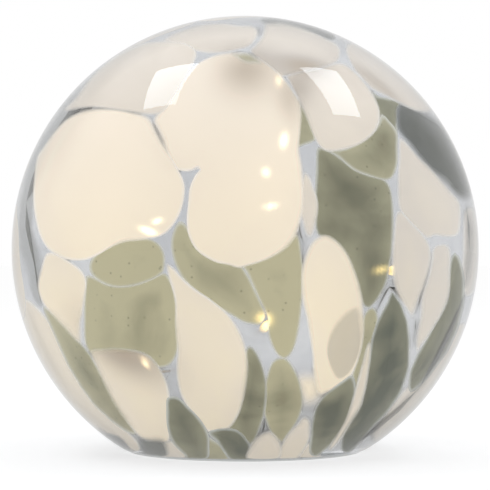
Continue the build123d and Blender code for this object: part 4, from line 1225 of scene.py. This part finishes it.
# The film's faint warm emission is painted light, standing for the glow of the string inside the ball.
opal, tree, shader = new_finish(
    "opal_film", Roughness=0.6, Specular_IOR_Level=0.0, Emission_Color=(1.0, 0.93, 0.82, 1),
    Emission_Strength=0.14,
)
veil = noise(tree, own_place(tree), 30.0, 4.0, 0.8)
veil_colour = mixed_colour(tree, veil, (0.62, 0.645, 0.70, 1), (0.86, 0.86, 0.86, 1))
set_inputs(tree, shader, Base_Color=veil_colour)
veil_alpha = remapped(tree, veil, (0.3, 0.7), film_alphas)
film_alpha = maths(tree, "MULTIPLY", veil_alpha, point_mark(tree, "cover"))
thin_layer(tree, shader, veil_colour, film_through, film_alpha)
film.data.materials.append(opal)
print("finishes:", [material.name for material in bpy.data.materials])

# %% [markdown]
# ## Lit drops and the wire
# A drop glows from white at its lit side to amber at its back. The wire is fine lacquered copper.

# %% Drop and wire finishes
lit_resin, tree, shader = new_finish("lit_resin", Roughness=0.12, Emission_Strength=2.2)
resin = use_group(
    tree, grain, Vector=own_place(tree), Light_Colour=(1.0, 0.90, 0.68, 1),
    Dark_Colour=(0.85, 0.70, 0.42, 1),
)
ramp = add_node(tree, "ValToRGB", Fac=point_mark(tree, "shine"))
dim_end, lit_end = ramp.color_ramp.elements
dim_end.position, dim_end.color = 0.12, (0.03, 0.016, 0.004, 1)
lit_end.position, lit_end.color = 0.95, (1.0, 0.86, 0.34, 1)
ramp.color_ramp.elements.new(0.5).color = (0.50, 0.30, 0.08, 1)
set_inputs(tree, shader, Base_Color=resin["Colour"], Emission_Color=ramp.outputs["Color"])
drops.data.materials.append(lit_resin)

bump_strength, bump_height = 0.05, 0.0002


def grained_finish(name, light, dark, scale, smooth, rough, metallic=0.0, coat=0.0):
    """Principled finish whose colour, roughness and small bumps come from the fine grain."""
    material, tree, shader = new_finish(name, Metallic=metallic, Coat_Weight=coat)
    look = use_group(
        tree, grain, Vector=own_place(tree), Light_Colour=(*light, 1), Dark_Colour=(*dark, 1),
        Grain_Scale=scale, Smooth=smooth, Rough=rough,
    )
    relief = add_node(
        tree, "Bump", Strength=bump_strength, Distance=bump_height, Height=look["Height"]
    )
    set_inputs(
        tree, shader, Base_Color=look["Colour"], Roughness=look["Roughness"],
        Normal=relief.outputs["Normal"],
    )
    return material


string_wire.data.materials.append(grained_finish(
    "lacquered_wire", (0.80, 0.66, 0.46), (0.62, 0.46, 0.30), 1500.0, 0.2, 0.4, metallic=0.9
))

# %% [markdown]
# ## The battery unit
# What stays from the solid model gets a finish of its own: matt white moulding, silicone, rubber,
# plated steel and nickel, the green board and the jackets of the cells.

# %% Finishes of the battery unit
# Each finish: the solids that have it, light and dark colour, grain scale, roughness from and to,
# and the weight of metal and of a clear coat.
unit_finishes = {
    "white_moulding": (("housing_body", "housing_lid", "battery_door"),
                       (0.86, 0.84, 0.79), (0.78, 0.76, 0.70), 1400.0, 0.42, 0.58, 0.0, 0.0),
    "clear_silicone": (("seal_ring",),
                       (0.82, 0.83, 0.82), (0.70, 0.71, 0.70), 700.0, 0.35, 0.55, 0.0, 0.0),
    "grey_rubber": (("lid_gasket", "wire_grommet", "door_gasket"),
                    (0.10, 0.10, 0.10), (0.06, 0.06, 0.06), 1800.0, 0.55, 0.8, 0.0, 0.0),
    "zinc_steel": (("lid_screws", "door_screw", "hinge_pin", "board_screws"),
                   (0.66, 0.66, 0.67), (0.52, 0.52, 0.53), 2200.0, 0.22, 0.42, 1.0, 0.0),
    "nickel_plate": (("contact_plates", "contact_springs", "timer_crystal", "switch_body"),
                     (0.76, 0.74, 0.70), (0.66, 0.64, 0.60), 1600.0, 0.12, 0.3, 1.0, 0.0),
    "cell_jacket": (("battery_cell_1", "battery_cell_2", "battery_cell_3"),
                    (0.12, 0.20, 0.15), (0.08, 0.14, 0.10), 500.0, 0.25, 0.4, 0.0, 0.4),
    "board_mask": (("circuit_board",),
                   (0.05, 0.27, 0.12), (0.03, 0.18, 0.08), 1200.0, 0.25, 0.4, 0.0, 0.3),
    "black_moulding": (("timer_chip", "board_resistors", "switch_slider"),
                       (0.05, 0.05, 0.055), (0.03, 0.03, 0.03), 1500.0, 0.4, 0.6, 0.0, 0.0),
    "black_lead": (("negative_lead",),
                   (0.035, 0.035, 0.035), (0.02, 0.02, 0.02), 1500.0, 0.4, 0.55, 0.0, 0.0),
    "red_lead": (("positive_lead",),
                 (0.52, 0.045, 0.035), (0.38, 0.03, 0.025), 1500.0, 0.4, 0.55, 0.0, 0.0),
    "phosphor": (("led_chips",),
                 (1.0, 0.84, 0.42), (0.90, 0.70, 0.30), 2500.0, 0.4, 0.6, 0.0, 0.0),
}
for name, (solids, *look) in unit_finishes.items():
    finish = grained_finish(name, *look)
    for solid in solids:
        nodes[solid].data.materials.clear()
        nodes[solid].data.materials.append(finish)
print("finished solids:", sum(len(solids) for solids, *_ in unit_finishes.values()))

# %% [markdown]
# ## Riding and replacing
# Every new piece rides on the lamp body of the model, and a slot of its finishes is listed beside it. The
# wall stands for the solid ball, the wire and the drops for theirs, and the spots are extra: they lie in
# the wall.

# %% Pieces and bodies
piece_slots = {
    glass: "mottled_glass", film: "mottled_glass", ivory: "mottled_glass", olive: "mottled_glass",
    slate: "mottled_glass", string_wire: "string_wire", drops: "clear_resin",
}
for piece, slot in piece_slots.items():
    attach(piece, "lamp")
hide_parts("glass_ball")
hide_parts("led_wire")
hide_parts("led_beads")
print("pieces:", [piece.name for piece in piece_slots])

# %% [markdown]
# ## The floor and the light
# The picture is a studio shot on white: two soft boxes overhead, which show as two bright panes on
# the upper glass, and an even white all round. The floor takes a soft shadow and is white to the
# camera, in mirrors and through glass. From below it is clear, so that the base can be looked at.

# %% Floor
floor_level, floor_half = -0.0002, 6.0
floor_lifts = (0.50, 0.66)
turns = ((-1, -1), (1, -1), (1, 1), (-1, 1))
corners = [(x * floor_half, y * floor_half, floor_level) for x, y in turns]
floor_mesh = bpy.data.meshes.new("floor")
floor_mesh.from_pydata(corners, [], [(0, 1, 2, 3)])
floor = bpy.data.objects.new("floor", floor_mesh)
bpy.context.scene.collection.objects.link(floor)
floor_white, tree, shader = new_finish("floor_white", Roughness=0.9, Specular_IOR_Level=0.0)
paper = use_group(
    tree, grain, Vector=own_place(tree), Light_Colour=(0.46, 0.46, 0.46, 1),
    Dark_Colour=(0.44, 0.44, 0.44, 1), Grain_Scale=300.0,
)
set_inputs(tree, shader, Base_Color=paper["Colour"])
lift = remapped(tree, any_ray(tree, "Camera", "Glossy", "Transmission"), onto=floor_lifts)
lifted = add_node(tree, "Emission", Color=(1, 1, 1, 1), Strength=lift)
total = add_node(tree, "AddShader")
for socket, node in zip(total.inputs, (shader, lifted)):
    feed(tree, socket, node.outputs[0])
from_below = add_node(tree, "NewGeometry").outputs["Backfacing"]
put_out(tree, mixed_shader(tree, from_below, total, add_node(tree, "BsdfTransparent")))
floor_mesh.materials.append(floor_white)
print("floor at", floor_level)

# %% Lamps and world
lamp_colour = (0.86, 0.93, 1.0)
sky_strengths = (0.72, 1.0)
# Each soft box: place, turn about the vertical in degrees, long and short side, and power.
soft_boxes = {
    "left_box": ((-0.458, 0.082, 1.0), 59.5, 0.44, 0.27, 1.6),
    "right_box": ((0.551, 0.091, 1.0), -47.0, 0.50, 0.28, 1.9),
}
for name, (place, turn, long_side, short_side, power) in soft_boxes.items():
    lamp = bpy.data.lights.new(name, "AREA")
    lamp.shape = "RECTANGLE"
    lamp.size, lamp.size_y = long_side, short_side
    lamp.energy = power
    lamp.color = lamp_colour
    box = bpy.data.objects.new(name, lamp)
    box.location = place
    box.rotation_euler = (0, 0, np.radians(turn))
    bpy.context.scene.collection.objects.link(box)

world = bpy.data.worlds.new("studio")
world.use_nodes = True
bpy.context.scene.world = world
tree = world.node_tree
sky = next(node for node in tree.nodes if node.type == "BACKGROUND")
strength = remapped(tree, any_ray(tree, "Camera", "Glossy", "Transmission"), onto=sky_strengths)
set_inputs(tree, sky, Color=(1, 1, 1, 1), Strength=strength)
bpy.context.scene.view_settings.view_transform = "Standard"
print("lamps:", list(soft_boxes))
